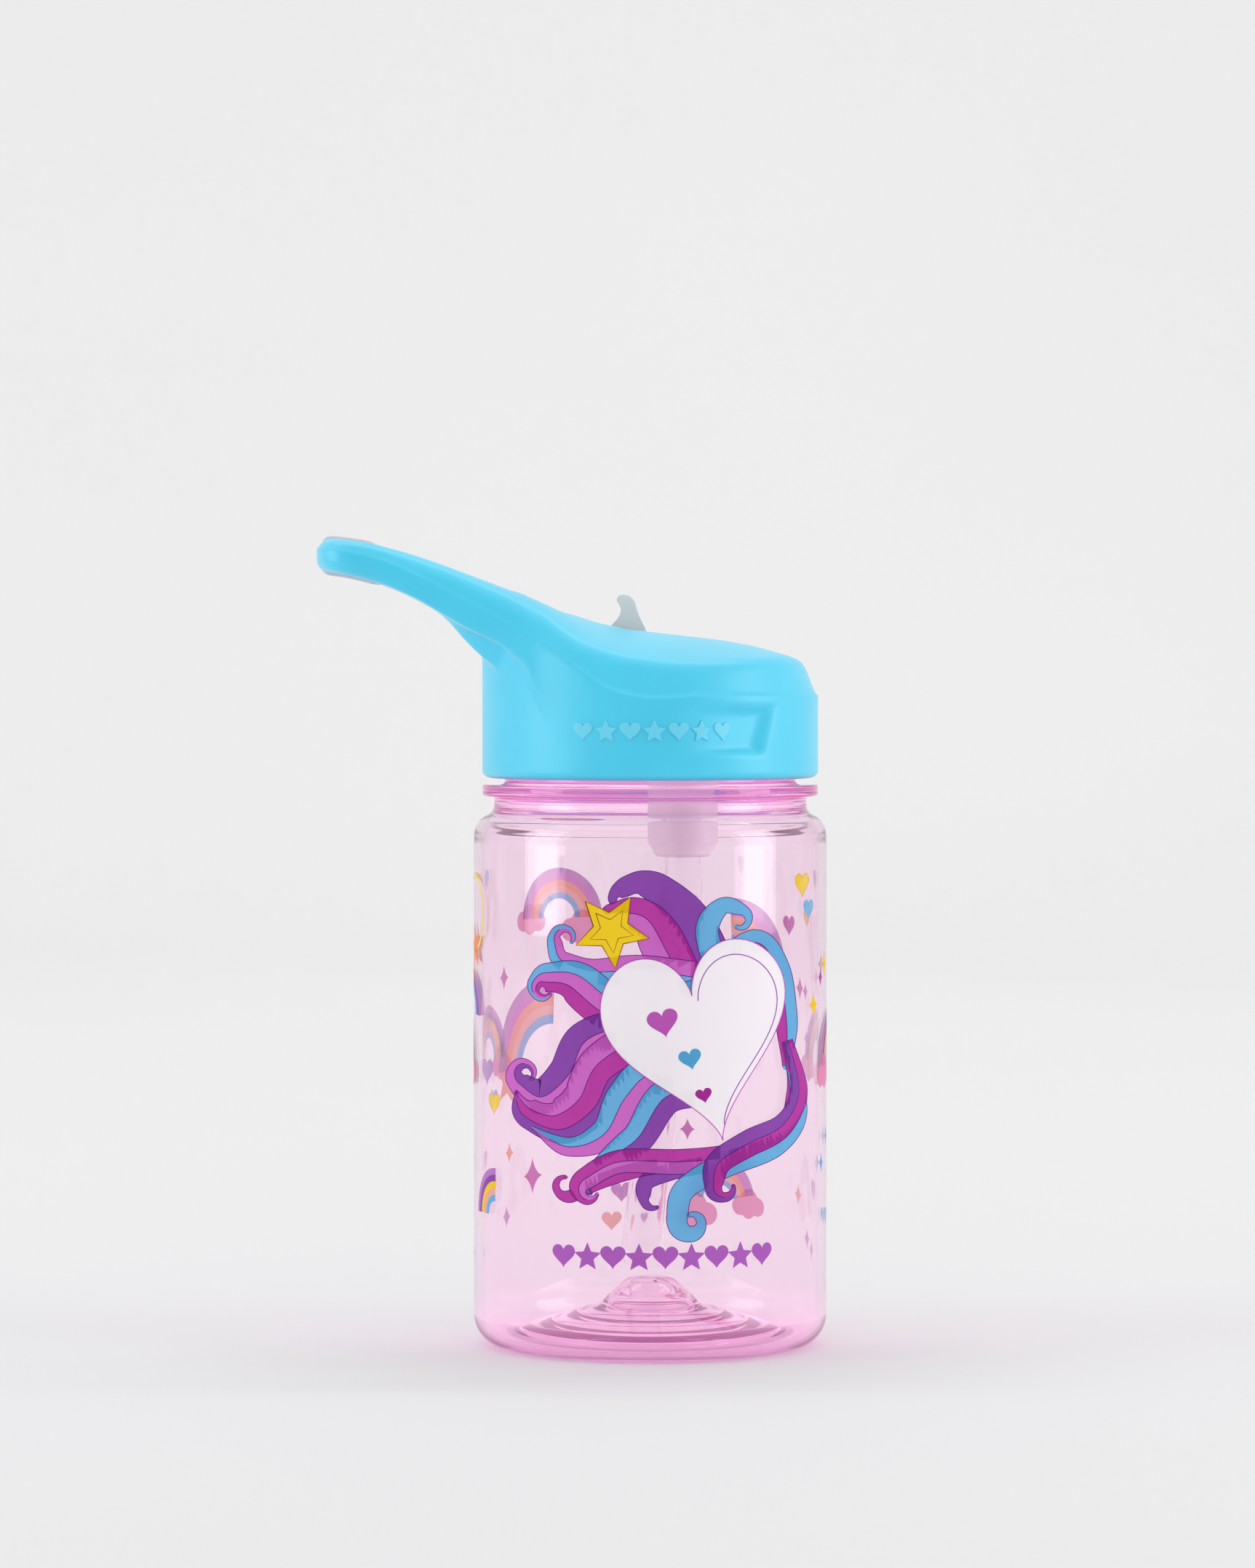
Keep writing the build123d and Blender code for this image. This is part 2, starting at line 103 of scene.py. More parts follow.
def moulded(name, rgb, rough=0.45, grain=2600.0, grain_mm=0.015, sss=0.0, vary=4, sheen=0.0,
            shine=0.5, coat=0.0, gloss_drift=0.04):
    """Moulded plastic or elastomer: slight tone drift, uneven gloss and a fine spark-eroded grain."""
    m, nt, p = new_mat(name)
    dark = lin([max(0, v - vary) for v in rgb])
    light = lin([min(255, v + vary) for v in rgb])
    nt.links.new(mix_colour(nt, noise(nt, 45.0), dark, light), p.inputs["Base Color"])
    p.inputs["Roughness"].default_value = rough
    if gloss_drift:
        gloss = map_range(nt, noise(nt, 160.0), rough - gloss_drift, rough + gloss_drift)
        nt.links.new(gloss, p.inputs["Roughness"])
    bump(nt, p, noise(nt, grain, 2.0), 0.35, grain_mm * MM)
    if sss:
        p.inputs["Subsurface Weight"].default_value = sss
        p.inputs["Subsurface Radius"].default_value = (0.6, 1.0, 1.0)
        p.inputs["Subsurface Scale"].default_value = 0.0015
    p.inputs["Specular IOR Level"].default_value = shine
    p.inputs["Coat Weight"].default_value = coat
    p.inputs["Coat Roughness"].default_value = 0.32
    if sheen:
        p.inputs["Sheen Weight"].default_value = sheen
    return m


LEVEL_Z = 120.0
LEVEL_MAX = 6.0


def by_height(nt, levels):
    """A number that follows the height: levels are (z in mm, value) pairs, up to LEVEL_Z and LEVEL_MAX."""
    axes = nt.nodes.new("ShaderNodeSeparateXYZ")
    nt.links.new(coords(nt), axes.inputs[0])
    height = nt.nodes.new("ShaderNodeMath")
    height.operation = "MULTIPLY"
    height.inputs[1].default_value = 1.0 / (LEVEL_Z * MM)
    nt.links.new(axes.outputs["Z"], height.inputs[0])
    ramp = nt.nodes.new("ShaderNodeValToRGB")
    ramp.color_ramp.interpolation = "EASE"
    for k, (z, value) in enumerate(levels):
        e = ramp.color_ramp.elements[k] if k < 2 else ramp.color_ramp.elements.new(z / LEVEL_Z)
        e.position = z / LEVEL_Z
        e.color = (value / LEVEL_MAX, value / LEVEL_MAX, value / LEVEL_MAX, 1.0)
    nt.links.new(height.outputs[0], ramp.inputs["Fac"])
    scale = nt.nodes.new("ShaderNodeMath")
    scale.operation = "MULTIPLY"
    scale.inputs[1].default_value = LEVEL_MAX
    nt.links.new(ramp.outputs["Color"], scale.inputs[0])
    return scale.outputs[0]


def clear(name, tint, rough=0.03, ior=1.5, absorb=None, density=0.0, weight=1.0, wave=0.0,
          shade=(0.97, 0.9, 0.95), painted_glow=None, levels=None):
    """Clear or frosted plastic with a faint flow ripple.

    absorb tints it by depth, shade is its shadow's colour, and the glow colour is painted light: an
    emission standing in for the light that its walls scatter, scaled by height where levels are given.
    """
    m, nt, p = new_mat(name)
    drift = mix_colour(nt, noise(nt, 12.0, 1.0), tint, tuple(v * 0.992 for v in tint))
    nt.links.new(drift, p.inputs["Base Color"])
    nt.links.new(map_range(nt, noise(nt, 60.0), rough, rough + 0.015), p.inputs["Roughness"])
    p.inputs["IOR"].default_value = ior
    p.inputs["Transmission Weight"].default_value = weight
    if wave:
        bump(nt, p, noise(nt, 55.0, 1.0), 0.25, wave * MM)
    if absorb:
        v = nt.nodes.new("ShaderNodeVolumeAbsorption")
        v.inputs["Color"].default_value = absorb
        v.inputs["Density"].default_value = density
        nt.links.new(v.outputs["Volume"], nt.nodes["Material Output"].inputs["Volume"])
    # painted glow: an emission colour that lights the plastic from within, though it is no lamp
    if painted_glow:
        p.inputs["Emission Color"].default_value = (*painted_glow, 1.0)
        p.inputs["Emission Strength"].default_value = 1.0
        if levels:
            nt.links.new(by_height(nt, levels), p.inputs["Emission Strength"])
    path = nt.nodes.new("ShaderNodeLightPath")
    through = nt.nodes.new("ShaderNodeBsdfTransparent")
    through.inputs["Color"].default_value = (*shade, 1.0)
    mix = nt.nodes.new("ShaderNodeMixShader")
    nt.links.new(path.outputs["Is Shadow Ray"], mix.inputs[0])
    nt.links.new(p.outputs[0], mix.inputs[1])
    nt.links.new(through.outputs[0], mix.inputs[2])
    nt.links.new(mix.outputs[0], nt.nodes["Material Output"].inputs["Surface"])
    return m


def metal(name):
    m, nt, p = new_mat(name)
    p.inputs["Metallic"].default_value = 1.0
    drift = mix_colour(nt, noise(nt, 300.0), lin((176, 178, 182)), lin((200, 201, 204)))
    nt.links.new(drift, p.inputs["Base Color"])
    nt.links.new(map_range(nt, noise(nt, 900.0), 0.22, 0.34), p.inputs["Roughness"])
    return m


# the pink plastic's painted glow is strongest at the base and just under the flange, where it looked too
# dark
PINK_CLEAR = clear("clear_pink", (0.98, 0.94, 0.96, 1), 0.008, 1.5, (0.99, 0.2, 0.76, 1), 47.0, wave=0.0015,
                   painted_glow=(0.02, 0.006, 0.015),
                   levels=[(5.0, 2.5), (12.0, 0.9), (106.5, 0.7), (109.3, 4.8)])
# painted glow: an emission that brightens the frosted liner and straw socket
FROSTED = clear("frosted", (0.97, 0.955, 0.97, 1), 0.35, 1.45, weight=0.3, shade=(0.95, 0.95, 0.95),
                painted_glow=(0.06, 0.05, 0.058))
STRAW = clear("straw_clear", (0.99, 0.98, 0.99, 1), 0.1, 1.16, weight=0.94, shade=(0.98, 0.97, 0.98))
SKY = moulded("sky_blue", (42, 211, 247), 0.46, sss=0.12, sheen=0.2, shine=0.9, coat=0.4, gloss_drift=0.0)
# a lighter copy of the lid's blue for the raised row: a painted highlight where the relief catches light
SKY_RAISED_LIT = moulded("sky_raised_painted_highlight", (96, 218, 248), 0.46, sss=0.12, sheen=0.2, shine=0.9, gloss_drift=0.0)
GRIP = moulded("grip_grey", (214, 207, 222), 0.6, 1500.0, 0.03, sheen=0.15)
SOFT = moulded("soft_grey", (236, 232, 229), 0.5, 1800.0, 0.015, sss=0.1)
SPOUT = moulded("spout_grey", (205, 207, 210), 0.35)
SILICONE = moulded("silicone", (232, 232, 234), 0.5, 1500.0, 0.01, sss=0.1)
STEEL = metal("steel")

CAD_MATERIALS = {
    "bottle_body": PINK_CLEAR, "lid_shell": SKY, "lid_liner": FROSTED, "lid_seal": SILICONE,
    "handle_grip": GRIP, "spout_body": SPOUT, "spout_thumb_tab": SOFT, "spout_mouthpiece": SOFT,
    "spout_pin_left": STEEL, "spout_pin_right": STEEL, "spout_seal": SILICONE, "straw_socket": FROSTED,
    "straw": STRAW, "vent_valve": SILICONE,
}
for name, mat in CAD_MATERIALS.items():
    me = nodes[name].data
    if not me.materials:
        me.materials.append(mat)
    for slot in nodes[name].material_slots:
        slot.material = mat


# ---------------------------------------------------------------- mesh helpers

def mesh_object(name, verts, faces, mats, body, face_mats=None, smooth=True):
    me = bpy.data.meshes.new(name)
    me.from_pydata(verts, [], faces)
    for m in mats:
        me.materials.append(m)
    if face_mats:
        me.polygons.foreach_set("material_index", face_mats)
    if smooth:
        me.polygons.foreach_set("use_smooth", [True] * len(me.polygons))
    me.update()
    ob = bpy.data.objects.new(name, me)
    bpy.context.scene.collection.objects.link(ob)
    if body:
        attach(ob, body)
    return ob


def arc_points(cx, cz, r, a0, a1, n):
    out = []
    for i in range(n + 1):
        a = math.radians(a0 + (a1 - a0) * i / n)
        out.append((cx + r * math.cos(a), cz + r * math.sin(a)))
    return out


def catmull(pts, per=8):
    """Smooth line through the points."""
    out = []
    n = len(pts)
    for i in range(n - 1):
        p0 = pts[max(i - 1, 0)]
        p1 = pts[i]
        p2 = pts[i + 1]
        p3 = pts[min(i + 2, n - 1)]
        for k in range(per):
            t = k / per
            out.append(tuple(
                0.5 * (2 * b + (c - a) * t + (2 * a - 5 * b + 4 * c - d) * t * t
                       + (3 * b - a - 3 * c + d) * t ** 3)
                for a, b, c, d in zip(p0, p1, p2, p3)
            ))
    out.append(tuple(pts[-1]))
    return out


def lathe_grid(rows, seg, radius_at=None):
    """Rows of (r, z) in mm turned round Z; radius_at(r, z, angle) may change a point's radius."""
    verts = []
    for r, z in rows:
        for k in range(seg):
            a = 2 * math.pi * k / seg
            rr = radius_at(r, z, a) if radius_at else r
            verts.append((rr * math.cos(a) * MM, rr * math.sin(a) * MM, z * MM))
    faces = []
    for i in range(len(rows) - 1):
        for k in range(seg):
            k2 = (k + 1) % seg
            faces.append((i * seg + k, i * seg + k2, (i + 1) * seg + k2, (i + 1) * seg + k))
    return verts, faces


# ---------------------------------------------------------------- bottle

BODY_R, INNER_R = 35.0, 33.4
FOOT_R, INNER_FOOT_R, FOOT_AT = 6.0, 4.4, 29.0
FLANGE_R, FLANGE_ROUND = 32.8, 0.5
NECK_R, NECK_IN_R = 28.9, 27.0
PITCH, THREAD_TURNS, THREAD_Z, THREAD_R = 4.0, 1.25, 115.8, 30.1
THREAD_LOW, THREAD_HIGH = 112.5, 126
CREST, FLANK, RUN_OUT, TAIL = 0.95, 0.45, 0.05, 0.03
SEG = 256


def thread_height(r, z, a):
    """The neck's radius with its thread: one ridge that climbs PITCH a turn and fades in and out."""
    if abs(r - NECK_R) > 0.01 or z < THREAD_LOW or z > THREAD_HIGH:
        return r
    best = 0.0
    for turn in (0, 1):
        along = a / (2 * math.pi) + turn
        left = THREAD_TURNS + TAIL - along
        if left < 0:
            continue
        off = abs(z - THREAD_Z - PITCH * along)
        ridge = min(1.0, max(0.0, (CREST - off) / FLANK))
        fade = min(1.0, along / RUN_OUT, left / RUN_OUT)
        best = max(best, ridge * max(0.0, fade))
    return r + (THREAD_R - NECK_R) * best


def under_slope(r):
    """Height of the cone under the base, between its crown and the foot."""
    return 6.9 - (r - 8.2) * 4.9 / 17.0


def outside_rows():
    """Outline of the outside, (r, z), from the middle of the pushed-up base to the rim."""
    rows = [(0.001, 12.0), (1.5, 12.0), (2.8, 11.85)]
    rows += catmull([(3.4, 11.5), (5.0, 10.2), (6.9, 8.9), (8.2, 7.1), (9.6, 6.45)], 5)
    rows.append((11, under_slope(11)))
    for ring_r in (14.0, 19.0):
        for off, drop in ((-0.6, 0.0), (-0.3, 0.06), (0.0, 0.1), (0.3, 0.06), (0.6, 0.0)):
            rows.append((ring_r + off, under_slope(ring_r + off) - drop))
        rows.append((ring_r + 3.0, under_slope(ring_r + 3.0)))
    rows.append((24.4, under_slope(24.4)))
    rows += [(25.2, 1.95), (25.8, 1.2), (26.1, 0.5), (26.4, 0.12), (26.8, 0.0), (28.0, 0.0)]
    rows += arc_points(FOOT_AT, FOOT_R, FOOT_R, -90, 0, 14)
    rows += [(BODY_R, 7 + i * 94.0 / 24) for i in range(25)]
    rows += catmull([(BODY_R, 101.3), (34.75, 102.6), (34.1, 103.9), (33.1, 104.9), (32.0, 105.5),
                     (31.35, 106.1), (31.05, 106.8)], 4)
    rows += [(31.0, 107.6), (31.0, 108.3), (31.2, 108.8), (31.7, 109.05), (32.6, 109.1)]
    rows += arc_points(FLANGE_R, 109.6, FLANGE_ROUND, -90, 0, 4)
    rows += arc_points(FLANGE_R, 110.9, FLANGE_ROUND, 0, 90, 4)
    rows += [(32.0, 111.4), (29.6, 111.42), (29.1, 111.6), (NECK_R, 112.0)]
    rows += [(NECK_R, 112.4 + i * 0.25) for i in range(58)]
    rows += [(NECK_R, 127.4), (28.85, 127.9), (28.6, 128.3), (28.2, 128.5)]
    return rows


def inside_rows():
    """Outline of the inside, from the rim down to the middle of the base."""
    rows = [(27.6, 128.5), (27.1, 128.4)]
    rows += [(NECK_IN_R, z) for z in (128.0, 122.0, 115.0, 112.4)]
    rows += [(27.15, 111.6), (28.5, 110.2)]
    rows += catmull([(28.8, 109.6), (28.8, 107.4), (29.3, 106.0), (31.0, 104.5), (32.5, 103.0),
                     (33.2, 101.5), (INNER_R, 100.0)], 5)
    rows += [(INNER_R, 99 - i * 91.5 / 24) for i in range(25)]
    rows += [(INNER_R, 6.4)]
    rows += arc_points(FOOT_AT, 6.2, INNER_FOOT_R, 0, -90, 12)
    rows += [(28.0, 1.8), (27.4, 1.95), (26.7, 2.6), (25.8, 3.5), (23.0, 4.47), (18.0, 5.95), (13.0, 7.45)]
    rows += catmull([(10.4, 8.2), (9.4, 8.75), (8.4, 9.9), (7.2, 11.1), (5.4, 12.6), (4.0, 13.3),
                     (2.6, 13.6)], 4)
    rows += [(1.2, 13.62), (0.001, 13.62)]
    return rows


def clear_bottle():
    verts, faces = lathe_grid(outside_rows() + inside_rows(), SEG, thread_height)
    bottle = mesh_object("bottle_clear", verts, faces, [PINK_CLEAR], "bottle")
    bm = bmesh.new()
    bm.from_mesh(bottle.data)
    bmesh.ops.remove_doubles(bm, verts=bm.verts, dist=2e-6)
    bmesh.ops.recalc_face_normals(bm, faces=bm.faces)
    bm.to_mesh(bottle.data)
    bm.free()
    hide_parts("bottle_body")


clear_bottle()


# ---------------------------------------------------------------- print on the bottle: own generic design

PRINT_R = 35.03
LAYER = 0.007
INK_RGB = {
    "purple": (128, 60, 168), "magenta": (182, 48, 160), "orchid": (206, 98, 200), "blue": (92, 180, 230),
    "yellow": (250, 214, 20), "white": (252, 247, 253), "cloud": (238, 140, 184), "orange": (246, 150, 96),
    "lilac": (184, 120, 200), "line": (104, 44, 140), "band": (168, 84, 188), "gold_line": (150, 96, 40),
    "peach": (246, 176, 150),
}
INK_ORDER = list(INK_RGB)
LINE_W = 0.16


def ink(name, rgb, through):
    """Printed skin: slight tone drift, semi-gloss, and some light comes through from behind."""
    m = moulded(name, rgb, 0.4, 900.0, 0.004, vary=3)
    p = m.node_tree.nodes["Principled BSDF"]
    p.inputs["Transmission Weight"].default_value = through
    p.inputs["IOR"].default_value = 1.12 if through else 1.4
    return m


FIRM_INKS = [ink("ink_" + k, v, 0.08 if k == "white" else 0.28) for k, v in INK_RGB.items()]
THIN_INKS = [ink("thin_ink_" + k, v, 0.42) for k, v in INK_RGB.items()]


class Sheet:
    """Flat artwork in mm, s round the bottle and z up, wrapped on the wall as a thin skin."""

    def __init__(self):
        self.verts, self.faces, self.inks, self.covers = [], [], [], []

    def add(self, points, faces, ink, layer):
        base = len(self.verts)
        self.verts += [(s, z, layer) for s, z in points]
        self.faces += [tuple(base + k for k in f) for f in faces]
        self.inks += [INK_ORDER.index(ink)] * len(faces)

    def fan(self, outline, ink, layer):
        """A filled outline, in small faces ringed round its middle."""
        n = len(outline)
        cx = sum(p[0] for p in outline) / n
        cz = sum(p[1] for p in outline) / n
        reach = max(math.hypot(p[0] - cx, p[1] - cz) for p in outline)
        rings = max(1, int(reach / 1.6))
        pts = [(cx, cz)]
        for k in range(1, rings + 1):
            t = k / rings
            pts += [(cx + (p[0] - cx) * t, cz + (p[1] - cz) * t) for p in outline]
        faces = [(0, 1 + i, 1 + (i + 1) % n) for i in range(n)]
        for k in range(rings - 1):
            a = 1 + k * n
            faces += [(a + i, a + n + i, a + n + (i + 1) % n, a + (i + 1) % n) for i in range(n)]
        self.add(pts, faces, ink, layer)

    def strip(self, left, right, ink, layer):
        n = len(left)
        faces = [(i, i + 1, n + i + 1, n + i) for i in range(n - 1)]
        self.add(list(left) + list(right), faces, ink, layer)

    def line(self, pts, width, ink, layer):
        normals = normals_of(pts)
        a = [(p[0] + q[0] * width / 2, p[1] + q[1] * width / 2) for p, q in zip(pts, normals)]
        b = [(p[0] - q[0] * width / 2, p[1] - q[1] * width / 2) for p, q in zip(pts, normals)]
        self.strip(a, b, ink, layer)

    def hide_under(self, outline, layer):
        """Whatever lies wholly under this outline in a lower layer is not printed."""
        self.covers.append((layer, np.array(outline)))

    def outlined(self, outline, ink, edge, layer, width):
        self.hide_under(outline, layer)
        self.fan(outline, ink, layer)
        self.line(list(outline) + [outline[0], outline[1]], width, edge, layer + 1)

    def build(self, name, mats):
        """Cuts the flat sheet along the bottle's own facets, then wraps it: no layer sinks into another."""
        me = bpy.data.meshes.new("sheet")
        me.from_pydata(self.verts, [], self.faces)
        me.polygons.foreach_set("material_index", self.inks)
        bm = bmesh.new()
        bm.from_mesh(me)
        low = min(v[0] for v in self.verts)
        high = max(v[0] for v in self.verts)
        facet = 2 * math.pi * BODY_R / SEG
        for k in range(math.ceil(low / facet), math.floor(high / facet) + 1):
            bmesh.ops.bisect_plane(bm, geom=bm.verts[:] + bm.edges[:] + bm.faces[:], dist=1e-5,
                                   plane_co=(k * facet, 0, 0), plane_no=(1, 0, 0))
        bm.to_mesh(me)
        bm.free()
        verts = []
        for v in me.vertices:
            s, z, layer = v.co
            r = PRINT_R + LAYER * layer
            k = math.floor(s / facet)
            t = s / facet - k
            a0, a1 = k * facet / BODY_R, (k + 1) * facet / BODY_R
            x = math.sin(a0) * (1 - t) + math.sin(a1) * t
            y = -math.cos(a0) * (1 - t) - math.cos(a1) * t
            verts.append((r * x * MM, r * y * MM, z * MM))
        flat = np.array([tuple(v.co) for v in me.vertices])
        corners = [tuple(f.vertices) for f in me.polygons]
        hidden = np.zeros(len(corners), bool)
        layers = np.array([flat[c[0], 2] for c in corners])
        for layer, outline in self.covers:
            covered = inside(outline, flat[:, 0], flat[:, 1])
            for k in np.nonzero((layers < layer - 0.5) & ~hidden)[0]:
                hidden[k] = all(covered[i] for i in corners[k])
        faces = [c for c, gone in zip(corners, hidden) if not gone]
        inks = [f.material_index for f, gone in zip(me.polygons, hidden) if not gone]
        return mesh_object(name, verts, faces, mats, "bottle", inks)


def inside(outline, px, pz):
    """Which points lie inside a closed outline, by winding number."""
    turn = np.zeros(len(px), int)
    for (x0, z0), (x1, z1) in zip(outline, np.roll(outline, -1, axis=0)):
        left = (x1 - x0) * (pz - z0) - (px - x0) * (z1 - z0)
        turn += ((z0 <= pz) & (z1 > pz) & (left > 0)).astype(int)
        turn -= ((z0 > pz) & (z1 <= pz) & (left < 0)).astype(int)
    return turn != 0


def normals_of(pts):
    out = []
    for i in range(len(pts)):
        a = pts[max(i - 1, 0)]
        b = pts[min(i + 1, len(pts) - 1)]
        dx, dz = b[0] - a[0], b[1] - a[1]
        d = math.hypot(dx, dz) or 1.0
        out.append((-dz / d, dx / d))
    return out


def turtle(start, heading, legs, step=0.35):
    """A flowing line: each leg is (length, bend at its start, bend at its end), bends in degrees per mm."""
    s, z = start
    h = math.radians(heading)
    pts = [(s, z)]
    for length, k0, k1 in legs:
        n = max(2, int(length / step))
        for i in range(n):
            t = (i + 0.5) / n
            h += math.radians(k0 + (k1 - k0) * t) * length / n
            s += math.cos(h) * length / n
            z += math.sin(h) * length / n
            pts.append((s, z))
    return pts


def ribbon(sheet, pts, widths, stripes, layer):
    """Stripes side by side along a line; widths are half widths spread evenly along it."""
    normals = normals_of(pts)
    n = len(pts)
    half = []
    for i in range(n):
        t = i / (n - 1) * (len(widths) - 1)
        k = min(int(t), len(widths) - 2)
        f = t - k
        f = f * f * (3 - 2 * f)
        half.append(widths[k] * (1 - f) + widths[k + 1] * f)
    m = len(stripes)
    rails = []
    for j in range(m + 1):
        f = -1 + 2 * j / m
        rails.append([(p[0] + q[0] * w * f, p[1] + q[1] * w * f) for p, q, w in zip(pts, normals, half)])
    for j in range(m):
        sheet.strip(rails[j], rails[j + 1], stripes[j], layer)
    sheet.hide_under(rails[0] + rails[-1][::-1], layer)
    for j, rail in enumerate(rails):
        keep = n if j in (0, m) else next((i for i in range(n // 3, n) if half[i] < 0.9), n)
        if keep > 3:
            sheet.line(rail[:keep], LINE_W, "line", layer + 1)
    tip, end = pts[-1], half[-1]
    if end > 0.25:
        sheet.fan([(tip[0] + end * math.cos(a / 8 * math.pi), tip[1] + end * math.sin(a / 8 * math.pi))
                   for a in range(16)], stripes[-1], layer)


def heart(cs, cz, width, tilt=0.0, n=48, tall=1.0):
    k = width / 32.0
    c, q = math.cos(math.radians(tilt)), math.sin(math.radians(tilt))
    out = []
    for i in range(n):
        t = 2 * math.pi * i / n
        x = 16 * math.sin(t) ** 3 * k
        rise = 13 * math.cos(t) - 5 * math.cos(2 * t) - 2 * math.cos(3 * t) - math.cos(4 * t) + 2.5
        y = rise * k * tall
        out.append((cs + x * c - y * q, cz + x * q + y * c))
    return out


def star(cs, cz, r, points=5, inner=0.45, tilt=90.0):
    out = []
    for i in range(points * 2):
        a = math.radians(tilt + i * 180.0 / points)
        rr = r if i % 2 == 0 else r * inner
        out.append((cs + rr * math.cos(a), cz + rr * math.sin(a)))
    return out


def sparkle(cs, cz, r, n=40):
    """Four-point twinkle with hollow sides."""
    out = []
    for i in range(n):
        a = 2 * math.pi * i / n
        c, q = math.cos(a), math.sin(a)
        out.append((cs + 0.72 * r * abs(c) ** 3 * (1 if c >= 0 else -1),
                    cz + r * abs(q) ** 3 * (1 if q >= 0 else -1)))
    return out


def cloud(cs, cz, w):
    """Outline of a few puffs that overlap: in each direction, the farthest edge of any puff."""
    puffs = ((-0.27, -0.06, 0.23), (0.0, 0.1, 0.27), (0.27, -0.04, 0.24), (0.02, -0.14, 0.22))
    out = []
    for i in range(72):
        c, q = math.cos(2 * math.pi * i / 72), math.sin(2 * math.pi * i / 72)
        far = 0.0
        for px, pz, r in puffs:
            along = px * c + pz * q
            rest = along * along - px * px - pz * pz + r * r
            if rest > 0:
                far = max(far, along + math.sqrt(rest))
        out.append((cs + w * far * c, cz + w * far * q))
    return out


def rainbow(sheet, cs, cz, r, a0, a1, inks, band):
    """Arches of radius r and less, each band mm wide, from angle a0 to a1."""
    for j, ink in enumerate(inks):
        n = max(8, int(abs(a1 - a0) / 6))
        outer, inner = [], []
        for i in range(n + 1):
            a = math.radians(a0 + (a1 - a0) * i / n)
            ro, ri = r - band * j, r - band * (j + 1)
            outer.append((cs + ro * math.cos(a), cz + ro * math.sin(a)))
            inner.append((cs + ri * math.cos(a), cz + ri * math.sin(a)))
        sheet.strip(outer, inner, ink, 0)


def front(x):
    """Distance round the wall of a point on the near side that stands x mm right of the axis."""
    return BODY_R * math.asin(max(-1, min(1, x / BODY_R)))


def behind(x):
    """The same for a point on the far side."""
    return BODY_R * (math.pi - math.asin(max(-1, min(1, x / BODY_R))))


def flow(points, curl=None):
    """Smooth line through a few points, then a hook: curl is one leg of turtle."""
    pts = catmull(points, 9)
    if curl:
        a, b = pts[-2], pts[-1]
        heading = math.degrees(math.atan2(b[1] - a[1], b[0] - a[0]))
        pts += turtle(b, heading, [curl], 0.25)[1:]
    return pts


